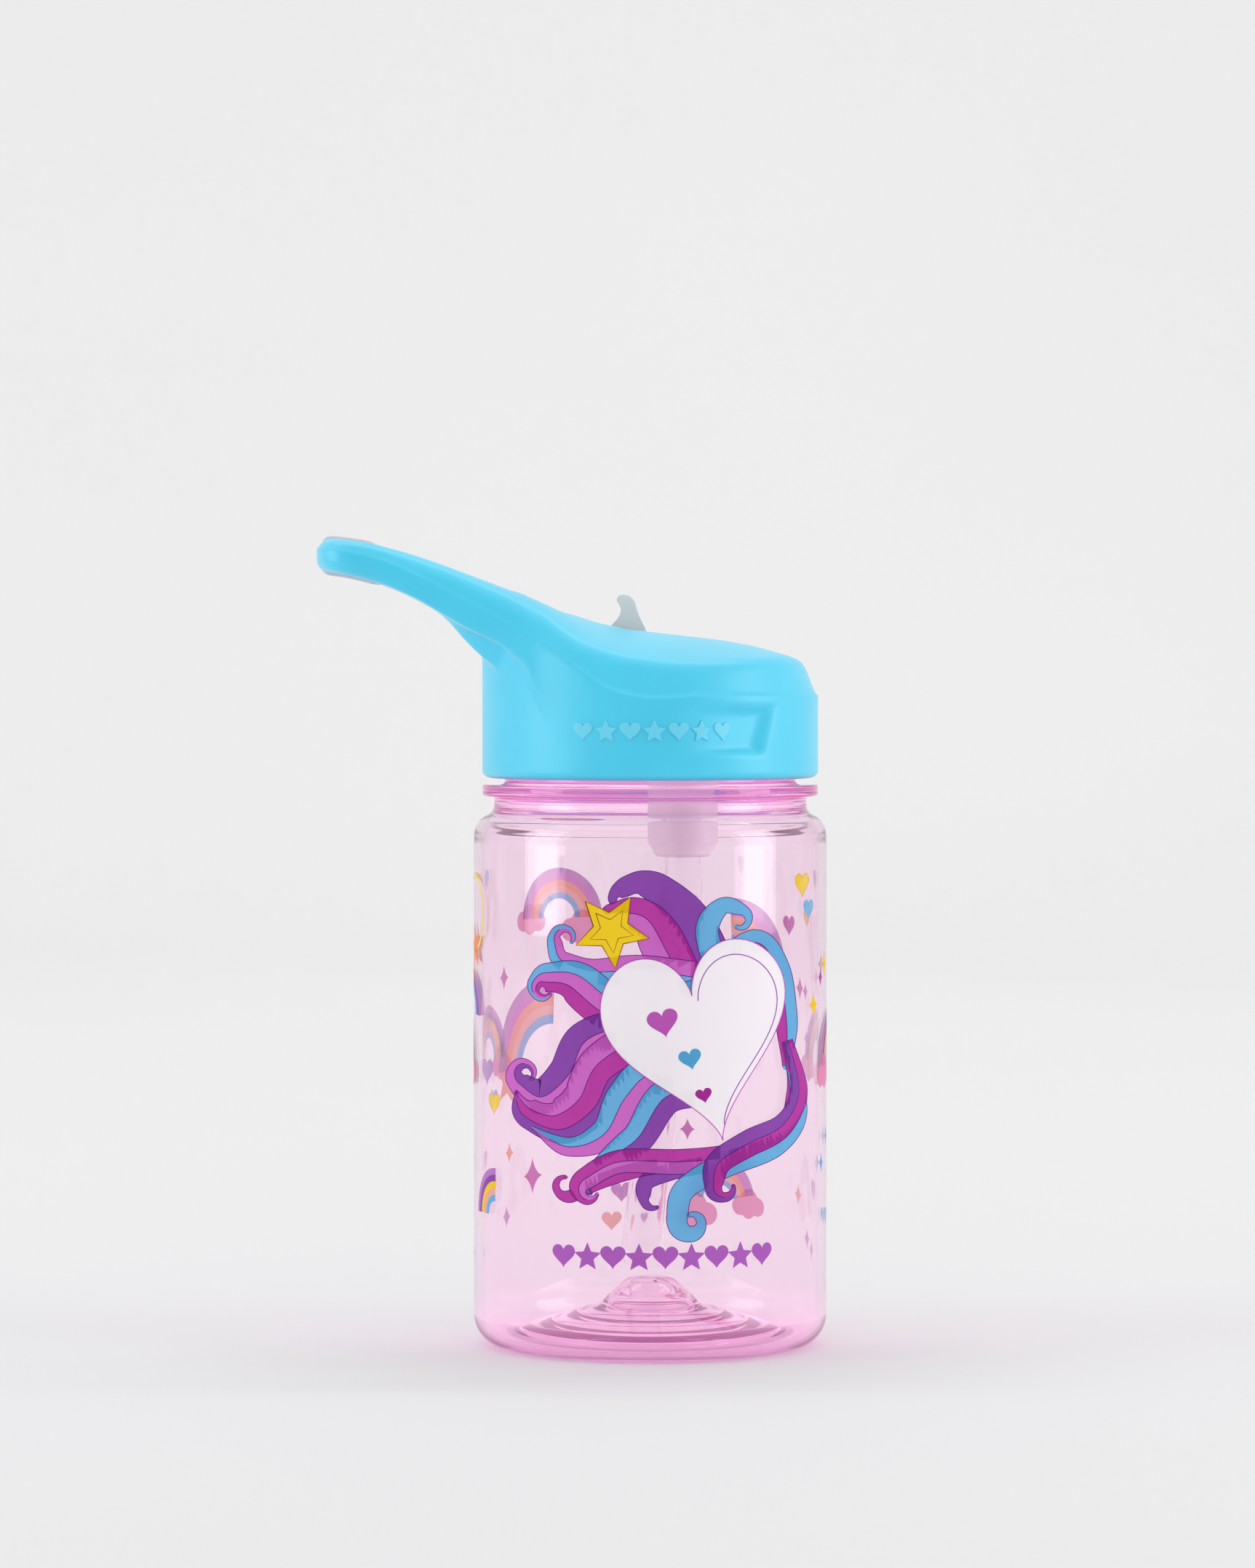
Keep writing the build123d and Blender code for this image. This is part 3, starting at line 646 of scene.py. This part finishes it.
def main_motif():
    a = Sheet()
    # crown of plumes behind the heart
    ribbon(a, flow([(14, 74), (9, 84), (3.5, 90.5), (-2, 93.2), (-6.4, 91.6)], (4.2, 30, 40)),
           [3.6, 3.8, 3.0, 1.9, 0.9, 0.35], ["purple"], 0)
    ribbon(a, flow([(8, 70), (3, 80), (-1, 86.4), (-6.6, 87.4)], (6.0, 18, 34)),
           [4.0, 4.4, 3.2, 1.8, 0.9, 0.35], ["magenta", "orchid"], 2)
    ribbon(a, flow([(13, 76), (10.8, 84), (13.8, 88.6), (17.6, 87.8)], (6.0, -26, -40)),
           [2.4, 2.2, 1.5, 0.9, 0.6, 0.35], ["blue"], 4)
    ribbon(a, flow([(12, 76), (20, 81.4), (24.6, 76), (26.4, 66), (26.4, 57)]), [2.4, 2.5, 2.4, 2.2, 0.8],
           ["magenta", "blue"], 0)
    # streams to the left
    ribbon(a, flow([(8, 75), (-2, 76.4), (-11, 76.0), (-17.2, 78.0), (-18.6, 81.6)], (7.5, -24, -38)),
           [3.0, 2.8, 2.2, 1.5, 1.0, 0.6, 0.3], ["orchid", "blue"], 6)
    ribbon(a, flow([(10, 70), (0, 68.6), (-8, 69.2), (-15, 74.2), (-20.4, 74.6)], (8.0, 22, 38)),
           [4.6, 4.8, 4.4, 2.8, 1.4, 0.8, 0.35], ["blue", "orchid", "magenta"], 8)
    ribbon(a, flow([(4, 62), (-5, 65.0), (-12.5, 62.6), (-15.8, 56.0), (-21, 51.4), (-25.4, 53.6)],
                   (10.0, -22, -36)),
           [2.6, 3.6, 4.0, 3.4, 2.0, 1.2, 0.7, 0.3], ["purple", "orchid"], 10)
    ribbon(a, flow([(6, 58), (-2, 60.4), (-9, 56.8), (-12.4, 50.4), (-18, 46.6), (-24.2, 48.4), (-26, 52)]),
           [4.2, 5.6, 5.2, 4.6, 3.0, 0.4], ["orchid", "magenta", "purple"], 12)
    ribbon(a, flow([(8, 54), (0, 56.2), (-5, 51.6), (-9, 44.6), (-16, 42.0), (-23, 45.4)]),
           [3.2, 3.8, 3.6, 2.8, 1.8, 0.25], ["blue", "orchid"], 14)
    ribbon(a, flow([(12, 53), (3.0, 52), (-2.5, 44), (-8, 40), (-11.6, 36.2)], (3.4, 20, 32)),
           [3.0, 3.4, 3.0, 1.8, 0.9, 0.35], ["blue", "purple"], 16)
    # long ribbons that sweep round the foot of the heart
    ribbon(a, flow([(26.4, 62), (28.4, 52), (26, 44.6), (17, 40.4), (6, 39.4), (-6, 39.4), (-12.8, 35.8)],
                   (7.6, 22, 36)),
           [0.9, 2.2, 2.6, 2.4, 2.2, 1.9, 1.0, 0.35], ["magenta", "orchid"], 18)
    ribbon(a, flow([(4, 39), (-3, 37.8), (-9.6, 35.6), (-15.0, 32.6)], (7.4, -22, -36)),
           [1.4, 1.5, 1.2, 0.7, 0.35], ["magenta"], 16)
    ribbon(a, flow([(10, 38.6), (4, 37.6), (-0.8, 35.6), (-1.4, 32.6)], (4, 24, 36)),
           [1.6, 1.7, 1.5, 0.8, 0.35], ["purple"], 16)
    ribbon(a, flow([(27.4, 56), (28.6, 48), (24.4, 42), (14, 38.4), (6.4, 34), (5.0, 28.6)],
                   (11.5, 17, 36)),
           [0.9, 2.2, 2.4, 2.1, 1.9, 1.5, 0.9, 0.4], ["blue"], 20)
    ribbon(a, flow([(26.6, 62), (28.8, 52), (25.6, 45.6), (18.6, 42.4), (13, 39), (12.0, 34.8)],
                   (7, 22, 36)),
           [0.9, 1.9, 2.6, 2.4, 1.6, 0.9, 0.35], ["purple", "magenta"], 22)
    a.outlined(heart(9.9, 61.8, 36.0, 12.0, 110, 1.16), "white", "orchid", 26, 0.2)
    a.line(heart(10.8, 62.0, 30.4, 12.0, 110, 1.16)[2:56], 0.2, "band", 28)
    small = ((2.4, 66.0, 6.0, "orchid"), (7.6, 59.0, 4.4, "blue"), (10.2, 52.0, 3.2, "magenta"))
    for cs, cz, w, ink in small:
        a.fan(heart(cs, cz, w, 12.0), ink, 28)
    a.outlined(star(-7.6, 84.0, 7.4, 5, 0.47, 132), "yellow", "gold_line", 28, 0.24)
    inner = star(-7.6, 84.0, 4.4, 5, 0.47, 132)
    a.line(inner + inner[:1], LINE_W, "gold_line", 30)
    a.verts = [(front(x), z, layer) for x, z, layer in a.verts]
    a.covers = [(layer, np.array([(front(x), z) for x, z in outline])) for layer, outline in a.covers]
    # small row under the motif
    for k in range(9):
        s = -17.6 + 5.1 * k
        if k % 2 == 0:
            a.fan(heart(s, 20.8, 5.0), "band", 0)
        else:
            a.fan(star(s, 20.8, 2.9, 5, 0.46), "band", 0)
    return a


def side_motifs():
    a = Sheet()
    rainbow_inks = ["lilac", "orchid", "orange", "peach", "blue"]
    # far side
    rainbow(a, behind(-19.2), 83.5, 10.2, 0, 180, rainbow_inks, 1.25)
    a.fan(cloud(behind(-25.2), 83.4, 8.6), "cloud", 2)
    a.fan(cloud(behind(-14.2), 81.4, 10.0), "cloud", 2)
    rainbow(a, behind(14.5), 25.5, 9.0, 10, 170, rainbow_inks, 1.1)
    a.fan(cloud(behind(21.0), 25.2, 8.4), "cloud", 2)
    a.fan(cloud(behind(9.5), 23.4, 10.2), "cloud", 2)
    for x, cz, r, a0, a1 in ((-20.6, 53.0, 18.5, 0, 92), (17.5, 72.0, 15.5, 88, 182)):
        rainbow(a, behind(x), cz, r, a0, a1, rainbow_inks, 1.9)
    a.fan(star(behind(-20.6) + 14.2, 51.0, 5.2, 5, 0.46, 100), "orange", 2)
    a.fan(star(behind(17.5) - 11.5, 70.4, 5.2, 5, 0.46, 80), "orange", 2)
    for x, cz, w, ink in (
        (29.5, 82.3, 4.6, "magenta"), (-5.9, 27.0, 4.6, "lilac"), (-8.0, 21.1, 4.4, "peach"),
        (-1.3, 21.7, 2.6, "lilac"), (32.1, 49.9, 5.0, "lilac"), (31.6, 43.4, 4.0, "peach"),
        (-33.2, 47.6, 5.0, "blue"), (6.0, 97.0, 4.0, "orchid"), (2.0, 62.0, 5.4, "orchid"),
        (-3.5, 55.5, 4.2, "blue"), (6.5, 54.0, 3.4, "yellow"),
    ):
        a.fan(heart(behind(x), cz, w), ink, 0)
    for x, cz, r, ink in (
        (-24.8, 31.3, 3.9, "magenta"), (-29.8, 36.5, 2.4, "orange"), (-30.4, 23.7, 2.4, "lilac"),
        (33.0, 69.5, 2.2, "magenta"), (33.2, 60.0, 2.0, "blue"), (31.5, 28.4, 2.4, "peach"),
        (33.4, 20.0, 2.4, "lilac"), (-8.0, 70.0, 2.6, "lilac"), (8.0, 40.0, 2.4, "magenta"),
        (-12.0, 44.0, 2.2, "yellow"),
    ):
        a.fan(sparkle(behind(x), cz, r), ink, 0)
    # near the left and right outlines of the front view
    for x, cz, w, ink in (
        (29.6, 92.0, 5.2, "yellow"), (30.9, 87.2, 4.2, "blue"), (-32.0, 55.2, 5.6, "lilac"),
        (-30.6, 49.1, 4.6, "yellow"),
    ):
        a.outlined(heart(front(x), cz, w), ink, "orange" if ink == "yellow" else ink, 0, 0.14)
    a.fan(sparkle(front(31.9), 68.4, 2.8), "yellow", 0)
    a.fan(sparkle(front(33.4), 73.6, 2.0), "magenta", 0)
    a.fan(sparkle(front(33.6), 37.0, 2.2), "blue", 0)
    rainbow(a, front(-30.4), 27.4, 9.2, 88, 180, ["lilac", "purple", "yellow", "peach", "blue"], 1.3)
    cs, cz = front(-33.9) - 4.0, 86.0
    moon = [math.radians(t) for t in range(-120, 121, 8)]
    a.line([(cs + 7.6 * math.cos(t), cz + 7.6 * math.sin(t)) for t in moon], 0.9, "yellow", 0)
    a.fan(star(cs + 1.0, 79.5, 5.0, 5, 0.46, 100), "orange", 2)
    rainbow(a, cs - 3.0, 66.0, 9.0, 0, 90, ["lilac", "purple", "blue"], 1.6)
    # sides that the front view doesn't show
    for s, cz, w, ink in (
        (58, 92, 5, "magenta"), (66, 84, 4, "yellow"), (60, 30, 5, "lilac"), (50, 26, 4, "blue"),
        (-60, 92, 5, "blue"), (-58, 36, 5, "magenta"), (-66, 30, 4, "yellow"),
    ):
        a.fan(heart(s, cz, w), ink, 0)
    for s in (56, -62):
        rainbow(a, s, 56, 11.0, 0, 180, ["lilac", "purple", "yellow", "peach", "blue"], 1.3)
        a.fan(cloud(s - 8.4, 55.0, 9.4), "cloud", 2)
        a.fan(cloud(s + 8.4, 55.0, 9.4), "cloud", 2)
    for s, cz, r, ink in (
        (48, 76, 3.0, "yellow"), (70, 70, 2.6, "magenta"), (50, 42, 2.4, "blue"), (-52, 74, 2.8, "yellow"),
        (-72, 72, 2.8, "magenta"), (-56, 18, 2.4, "blue"), (62, 18, 2.4, "orchid"),
    ):
        a.fan(sparkle(s, cz, r), ink, 0)
    return a


main_motif().build("print_main", FIRM_INKS)
side_motifs().build("print_around", THIN_INKS)


# ---------------------------------------------------------------- lid, from distance fields

LID_R, SKIRT_Z = 33.3, 112.7
PANEL_LOW, PANEL_HIGH, ROW_Z = 117.3, 127.7, 122.2
TIP_X, EDGE_ROUND = -50.8, 2.4
GAP_X, GAP_HALF_X, GAP_HALF_Y, GAP_ROUND = -44.6, 10.5, 12.3, 8.0
PIVOT_X, PIVOT_Z, TILT = 6.5, 131.0, math.radians(15.0)
LID_BORE, DECK_Z = 30.75, 131.0
SLOT_HALF, SADDLE_R = 8.2, 7.3
SOCKET_R, SPOUT_BORE, STRAW_BORE = 4.9, 5.2, 2.6
TROUGH_LOW, TROUGH_HALF = 121.6, 11.6


def curve_at(x, *pts):
    """Smooth height of a line through (x, z) points, taken from right to left."""
    xs = np.array([p[0] for p in pts][::-1])
    zs = np.array([p[1] for p in pts][::-1])
    slope = np.gradient(zs, xs)
    xc = np.clip(x, xs[0], xs[-1])
    i = np.clip(np.searchsorted(xs, xc) - 1, 0, len(xs) - 2)
    h = xs[i + 1] - xs[i]
    t = (xc - xs[i]) / h
    a = zs[i] * (1 + 2 * t) * (1 - t) ** 2 + slope[i] * h * t * (1 - t) ** 2
    b = zs[i + 1] * t * t * (3 - 2 * t) + slope[i + 1] * h * t * t * (t - 1)
    return a + b + (x - xc) * np.where(x > xc, slope[-1], slope[0])


def smax(a, b, k):
    """The larger of a and b, blended over k."""
    h = np.clip(0.5 + 0.5 * (a - b) / k, 0, 1)
    return b + (a - b) * h + k * h * (1 - h)


def smin(a, b, k):
    return -smax(-a, -b, k)


def ease(v):
    v = np.clip(v, 0, 1)
    return v * v * (3 - 2 * v)


def soft_ramp(v, k):
    """max(v, 0) with its corner rounded over k."""
    return 0.5 * (v + np.sqrt(v * v + k * k))


def corner(u, v):
    """Distance from the square corner where u and v are zero, negative where both are."""
    outer = np.sqrt(np.clip(u, 0, None) ** 2 + np.clip(v, 0, None) ** 2)
    return outer + np.minimum(np.maximum(u, v), 0)


def crease_z(x):
    """Height of the line where the lid's wall turns in towards the top."""
    return curve_at(x, (40, 129.0), (10, 129.0), (-3.6, 129.05), (-8.4, 130.5), (-16.5, 136.0),
                    (-25, 141.4), (-34, 146.4), (-42, 150.6), (-52, 155.2), (-66, 158.0))


def arm_top(x):
    """Height of the lid's top along its middle, out over the handle."""
    return curve_at(x, (34, 134.6), (29.2, 136.2), (25.7, 137.3), (20.5, 138.7), (15.3, 139.8),
                    (10.1, 140.5), (4.9, 141.1), (-0.3, 141.7), (-9, 142.9), (-14.1, 144.4),
                    (-21.1, 147.2), (-28, 149.9), (-34.9, 152.5), (-41.9, 155.1), (-48.8, 157.3),
                    (-55.7, 159.0), (-62.6, 159.9), (-70, 159.9))


def arm_half(x):
    """Half the width of the handle."""
    return curve_at(x, (-4, 32.7), (-12, 30.7), (-20, 26.4), (-28, 23.5), (-38, 21.4), (-50, 20.0),
                    (-70, 18.8))


def under_outer(x):
    """Height of the handle's underside at its outer edge."""
    return curve_at(x, (-21.3, 127.5), (-22.9, 131.0), (-24.4, 134.6), (-26.9, 137.2), (-36.7, 142.8),
                    (-48.2, 149.2), (-54, 151.2), (-60.9, 152.9), (-70, 153.8))


def pocket_depth(x, z):
    """How deep the shallow side panel is: bevelled rim, slanted right end, fading out to the left."""
    right = 22.8 + (z - PANEL_LOW) * 0.24
    rim = np.minimum(np.minimum((PANEL_HIGH - z) / 2.5, (z - PANEL_LOW) / 1.9), (right - x) / 4.6)
    return 1.6 * ease(rim) * ease((x - 3.0) / 15.0)


def lid_field(x, y, z):
    """The lid's outer shape with its handle, before the inside is cut out: negative within."""
    r = np.sqrt(x * x + y * y)
    ay = np.abs(y)
    over = soft_ramp(z - crease_z(x), 0.35)
    lean = 0.39 - 0.12 * ease((-12 - x) / 25)
    inset = 0.4 * ease((z - crease_z(x)) / 0.6)
    foot = 1.05 * np.clip((113.9 - z) / 1.2, 0, 1) ** 1.6
    wall = r - (LID_R - lean * over - inset - foot - np.where(y < 0, pocket_depth(x, z), 0))
    top = arm_top(x)
    side = ease((-8 - x) / 20)
    dome_fall = 6.2 * np.clip((ay - 7.0) / 24.0, 0, 2) ** 1.7 * (1 - side)
    arm_fall = side * 2.2 * np.clip((ay - 15.0) / 7.5, 0, 3) ** 2
    dish = 3.0 * ease((-14 - x) / 12) * ease((x + 37) / 5) * (1 - ease((ay - 7) / 8))
    roof = (z - (top - (dome_fall + arm_fall) - dish)) * 0.93
    crown = smax(wall, roof, 1.6)
    crown = smax(crown, SKIRT_Z - z, 0.5)
    # loop: outer face with its rounded end, underside that falls inwards, finger gap
    half = arm_half(np.maximum(x, TIP_X)) - lean * over * 0.8 - inset
    face = (((np.clip(TIP_X - x, 0, None) * 1.33) ** 4 + ay ** 4) ** 0.25 - half) * 0.85
    inward = np.clip(half - ay, 0, 9.5)
    fall_in = 1.7 * ease((x + 43) / 14) * np.clip(inward - 5.2, 0, 2.8) + 0.06 * inward
    under = (under_outer(x) - fall_in - z) * 0.7
    tip = ease((-47 - x) / 9)
    loop = smax(smax(face, roof, 2.6), under, 0.6)
    across = np.abs(z - (top + under_outer(x)) / 2) - (top - under_outer(x)) / 2
    stadium = corner(face + EDGE_ROUND, across + EDGE_ROUND) - EDGE_ROUND
    loop = loop * (1 - tip) + stadium * tip
    loop = smax(np.maximum(loop, 115.0 - z), x + 6.0, 1.0)
    gap = corner(np.abs(x - GAP_X) - GAP_HALF_X + GAP_ROUND, ay - GAP_HALF_Y + GAP_ROUND) - GAP_ROUND
    loop = smax(loop, -gap, 2.4)
    return smin(crown, loop, 0.9)


def grip_solid(x, y, z):
    """Soft insert: the loop's own shape swollen a little, between its ends and round the cross bar."""
    skin = lid_field(x, y, z)
    ring = np.maximum(skin - 0.65 * ease((x + 65.2) / 1.6) + 0.15, -(skin + 1.0))
    ends = np.maximum(np.maximum(-64.9 - x, x + 53.6), np.abs(y) - 9.4)
    return smax(ring, ends, 0.4)


def box2(u, v, u0, u1, v0, v1):
    """Distance from the rectangle u0 to u1 by v0 to v1."""
    du = np.abs(u - (u0 + u1) / 2) - (u1 - u0) / 2
    dv = np.abs(v - (v0 + v1) / 2) - (v1 - v0) / 2
    return corner(du, dv)


def lid_solid(x, y, z):
    """The whole lid: bored from below, with the spout's trough, slot and saddle and the straw's hole."""
    body = lid_field(x, y, z)
    ay = np.abs(y)
    r = np.sqrt(x * x + y * y)
    rp = np.sqrt((x - PIVOT_X) ** 2 + y * y)
    bore = smax(r - LID_BORE, z - DECK_Z, 0.4)
    body = smax(body, -bore, 0.4)
    floor_z = PIVOT_Z + (PIVOT_X - x) * math.tan(TILT) - 7.0
    under = np.maximum(floor_z - 2.2 - z, TROUGH_LOW - z)
    under = np.maximum(under, np.maximum(z - 132.2, ay - TROUGH_HALF))
    trough = np.maximum(under, np.maximum(-24.4 - x, x - (14.5 + np.clip(z - TROUGH_LOW, 0, 9) * 0.6)))
    body = smin(body, trough, 0.4)
    body = smin(body, np.maximum(np.maximum(rp - SOCKET_R, 113.0 - z), z - 123.0), 0.3)
    rear = box2(x, z, -27.0, PIVOT_X, 100.0, 180.0)
    slot = np.maximum(np.maximum(rear, (floor_z - z) * math.cos(TILT)), ay - SLOT_HALF)
    pocket = np.maximum(box2(x, z, 0.0, 17.5, 134.5, 180.0), ay - SLOT_HALF)
    saddle = np.maximum(np.sqrt((x - PIVOT_X) ** 2 + (z - PIVOT_Z) ** 2) - SADDLE_R, ay - SLOT_HALF)
    hollow = smin(smin(slot, pocket, 0.8), saddle, 0.6)
    body = smax(body, -hollow, 1.1)
    body = np.maximum(body, -np.maximum(rp - SPOUT_BORE, np.maximum(122.4 - z, z - DECK_Z)))
    return np.maximum(body, -np.maximum(rp - STRAW_BORE, z - DECK_Z))


def surface_net(field, low, high, step, relax=3):
    """Closed quad mesh of field = 0: one vertex per crossed cell, pulled on to the surface."""
    axes = [np.arange(a, b + step, step) for a, b in zip(low, high)]
    gx, gy, gz = np.meshgrid(*axes, indexing="ij")
    f = field(gx, gy, gz)
    n = [s - 1 for s in f.shape]
    acc = np.zeros(n + [3])
    cnt = np.zeros(n)
    quads = []
    ids = -np.ones(n, dtype=np.int64)
    spans = []
    for ax in range(3):
        a = [slice(None)] * 3
        b = [slice(None)] * 3
        a[ax] = slice(0, -1)
        b[ax] = slice(1, None)
        fa, fb = f[tuple(a)], f[tuple(b)]
        cut = (fa < 0) != (fb < 0)
        idx = np.argwhere(cut)
        t = fa[cut] / (fa[cut] - fb[cut])
        pos = idx.astype(float)
        pos[:, ax] += t
        others = [k for k in range(3) if k != ax]
        ring = []
        for d0, d1 in ((0, 0), (-1, 0), (-1, -1), (0, -1)):
            c = idx.copy()
            c[:, others[0]] += d0
            c[:, others[1]] += d1
            ring.append(c)
            ok = np.all((c >= 0) & (c < np.array(n)), axis=1)
            np.add.at(acc, tuple(c[ok].T), pos[ok])
            np.add.at(cnt, tuple(c[ok].T), 1)
        spans.append((ring, fa[cut] < 0, ax))
    used = cnt > 0
    ids[used] = np.arange(int(used.sum()))
    verts = np.array(low) + acc[used] / cnt[used][:, None] * step
    for ring, falls, ax in spans:
        q = np.stack([ids[tuple(c.T)] for c in ring], axis=1)
        flip = ~falls if ax != 1 else falls
        q[flip] = q[flip][:, ::-1]
        quads.append(q)
    quads = np.concatenate(quads)

    def pull(v, rounds):
        e = 0.02
        for _ in range(rounds):
            g0 = field(v[:, 0], v[:, 1], v[:, 2])
            g = np.stack([
                field(v[:, 0] + e, v[:, 1], v[:, 2]) - g0,
                field(v[:, 0], v[:, 1] + e, v[:, 2]) - g0,
                field(v[:, 0], v[:, 1], v[:, 2] + e) - g0,
            ], axis=1) / e
            move = g * (g0 / np.maximum((g * g).sum(axis=1), 0.2))[:, None]
            size = np.linalg.norm(move, axis=1, keepdims=True)
            v = v - move * np.minimum(1, 0.35 * step / np.maximum(size, 1e-9))
        return v

    verts = pull(verts, 2)
    for _ in range(relax):
        total = np.zeros_like(verts)
        many = np.zeros(len(verts))
        for k in range(4):
            i, j = quads[:, k], quads[:, (k + 1) % 4]
            np.add.at(total, i, verts[j])
            np.add.at(total, j, verts[i])
            np.add.at(many, i, 1)
            np.add.at(many, j, 1)
        verts = verts + 0.5 * (total / many[:, None] - verts)
        verts = pull(verts, 1)
    return pull(verts, 2), quads


lv, lq = surface_net(lid_solid, (-68.0, -35.0, 111.5), (35.0, 35.0, 162.5), 0.62)
lid = mesh_object("lid_smooth", (lv * MM).tolist(), lq.tolist(), [SKY], "lid")
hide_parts("lid_shell")


def raised_row():
    """Small hearts and stars standing proud of the lid's near wall, in a lighter copy of its blue: a
    painted highlight.
    """
    verts, faces = [], []
    for k in range(7):
        cx = -13.4 + 4.7 * k
        shape = heart(cx, ROW_Z, 4.0, 0, 40) if k % 2 == 0 else star(cx, ROW_Z, 2.3, 5, 0.5)
        if k % 2:
            shape = [(a[0] + (b[0] - a[0]) * t, a[1] + (b[1] - a[1]) * t)
                     for a, b in zip(shape, shape[1:] + shape[:1]) for t in (0, 0.25, 0.5, 0.75)]
        mx = sum(p[0] for p in shape) / len(shape)
        mz = sum(p[1] for p in shape) / len(shape)
        n = len(shape)
        base = len(verts)
        levels = ((1.0, -0.35), (1.0, 0.2), (0.93, 0.3), (0.6, 0.32), (0.3, 0.32))
        for scale, lift in levels:
            for px, pz in shape:
                s0 = mx + (px - mx) * scale
                z0 = mz + (pz - mz) * scale
                a = s0 / LID_R
                x0 = LID_R * math.sin(a)
                r = LID_R + lift - float(pocket_depth(np.array(x0), np.array(z0)))
                verts.append((r * math.sin(a) * MM, -r * math.cos(a) * MM, z0 * MM))
        last = len(levels) - 1
        for ring in range(last):
            for i in range(n):
                i2 = (i + 1) % n
                faces.append((base + ring * n + i, base + ring * n + i2, base + (ring + 1) * n + i2,
                              base + (ring + 1) * n + i))
        faces.append(tuple(base + last * n + i for i in range(n)))
    return mesh_object("lid_raised_row", verts, faces, [SKY_RAISED_LIT], "lid", None, False)


raised_row()
gv, gq = surface_net(grip_solid, (-67.5, -11.0, 146.0), (-50.0, 11.0, 162.5), 0.4)
grip = mesh_object("grip_smooth", (gv * MM).tolist(), gq.tolist(), [GRIP], "lid")
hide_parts("handle_grip")


# ---------------------------------------------------------------- stage, lights and camera

SWEEP_START, SWEEP_R = 1.4, 0.9


def sweep_stage():
    """Paper that lies under the bottle and turns up behind it; sizes in metres."""
    line = [(-2.6, 0.0), (SWEEP_START, 0.0)]
    for a in range(6, 91, 6):
        line.append((SWEEP_START + SWEEP_R * math.sin(math.radians(a)),
                     SWEEP_R - SWEEP_R * math.cos(math.radians(a))))
    line.append((2.3, 3.2))
    verts = []
    for y, z in line:
        verts.append((-3.5, y, z))
        verts.append((3.5, y, z))
    faces = [(2 * i, 2 * i + 1, 2 * i + 3, 2 * i + 2) for i in range(len(line) - 1)]
    m, nt, p = new_mat("paper_sweep")
    drift = mix_colour(nt, noise(nt, 1.5), lin((230, 230, 231)), lin((232, 232, 233)))
    nt.links.new(drift, p.inputs["Base Color"])
    p.inputs["Roughness"].default_value = 0.9
    ob = mesh_object("stage_sweep", verts, faces, [m], None)


sweep_stage()


def area(name, loc, look, size, power, size_y=None):
    lamp = bpy.data.lights.new(name, "AREA")
    lamp.energy = power
    lamp.shape = "RECTANGLE"
    lamp.size = size
    lamp.size_y = size_y or size
    ob = bpy.data.objects.new(name, lamp)
    bpy.context.scene.collection.objects.link(ob)
    ob.location = loc
    aim = Vector(look) - Vector(loc)
    ob.rotation_euler = aim.to_track_quat("-Z", "Y").to_euler()


area("soft_left", (-1.15, -0.3, 0.45), (0, 0, 0.1), 0.6, 3.5, 0.9)
area("soft_right", (1.15, -0.3, 0.45), (0, 0, 0.1), 0.6, 3.9, 0.9)
area("soft_top", (0.0, 0.1, 1.3), (0, 0.1, 0), 1.2, 0.6)
area("wall_wash", (0.0, 0.75, 2.4), (0, 2.3, 0.7), 3.0, 20.0, 0.5)

world = bpy.data.worlds.new("studio")
bpy.context.scene.world = world
world.use_nodes = True
wt = world.node_tree
bg = wt.nodes["Background"]
bg.inputs["Color"].default_value = (1.0, 0.995, 0.995, 1)
where = wt.nodes.new("ShaderNodeTexCoord")
axes = wt.nodes.new("ShaderNodeSeparateXYZ")
ramp = wt.nodes.new("ShaderNodeMapRange")
ramp.interpolation_type = "SMOOTHSTEP"
ramp.inputs["From Min"].default_value = -0.97
ramp.inputs["From Max"].default_value = -0.55
ramp.inputs["To Min"].default_value = 0.62
ramp.inputs["To Max"].default_value = 0.78
wt.links.new(where.outputs["Generated"], axes.inputs[0])
wt.links.new(axes.outputs["Y"], ramp.inputs["Value"])
wt.links.new(ramp.outputs["Result"], bg.inputs["Strength"])

cam_data = bpy.data.cameras.new("camera")
cam = bpy.data.objects.new("camera", cam_data)
bpy.context.scene.collection.objects.link(cam)
cam_data.sensor_fit = "AUTO"
cam_data.sensor_width = 36.0
cam_data.lens = 129.6
cam.location = (-0.0045, -1.12, 0.137)
cam.rotation_euler = (math.radians(90 - 1.31), 0, 0)
bpy.context.scene.camera = cam
bpy.context.scene.view_settings.view_transform = "Standard"
bpy.context.scene.cycles.max_bounces = 24
bpy.context.scene.cycles.transmission_bounces = 24
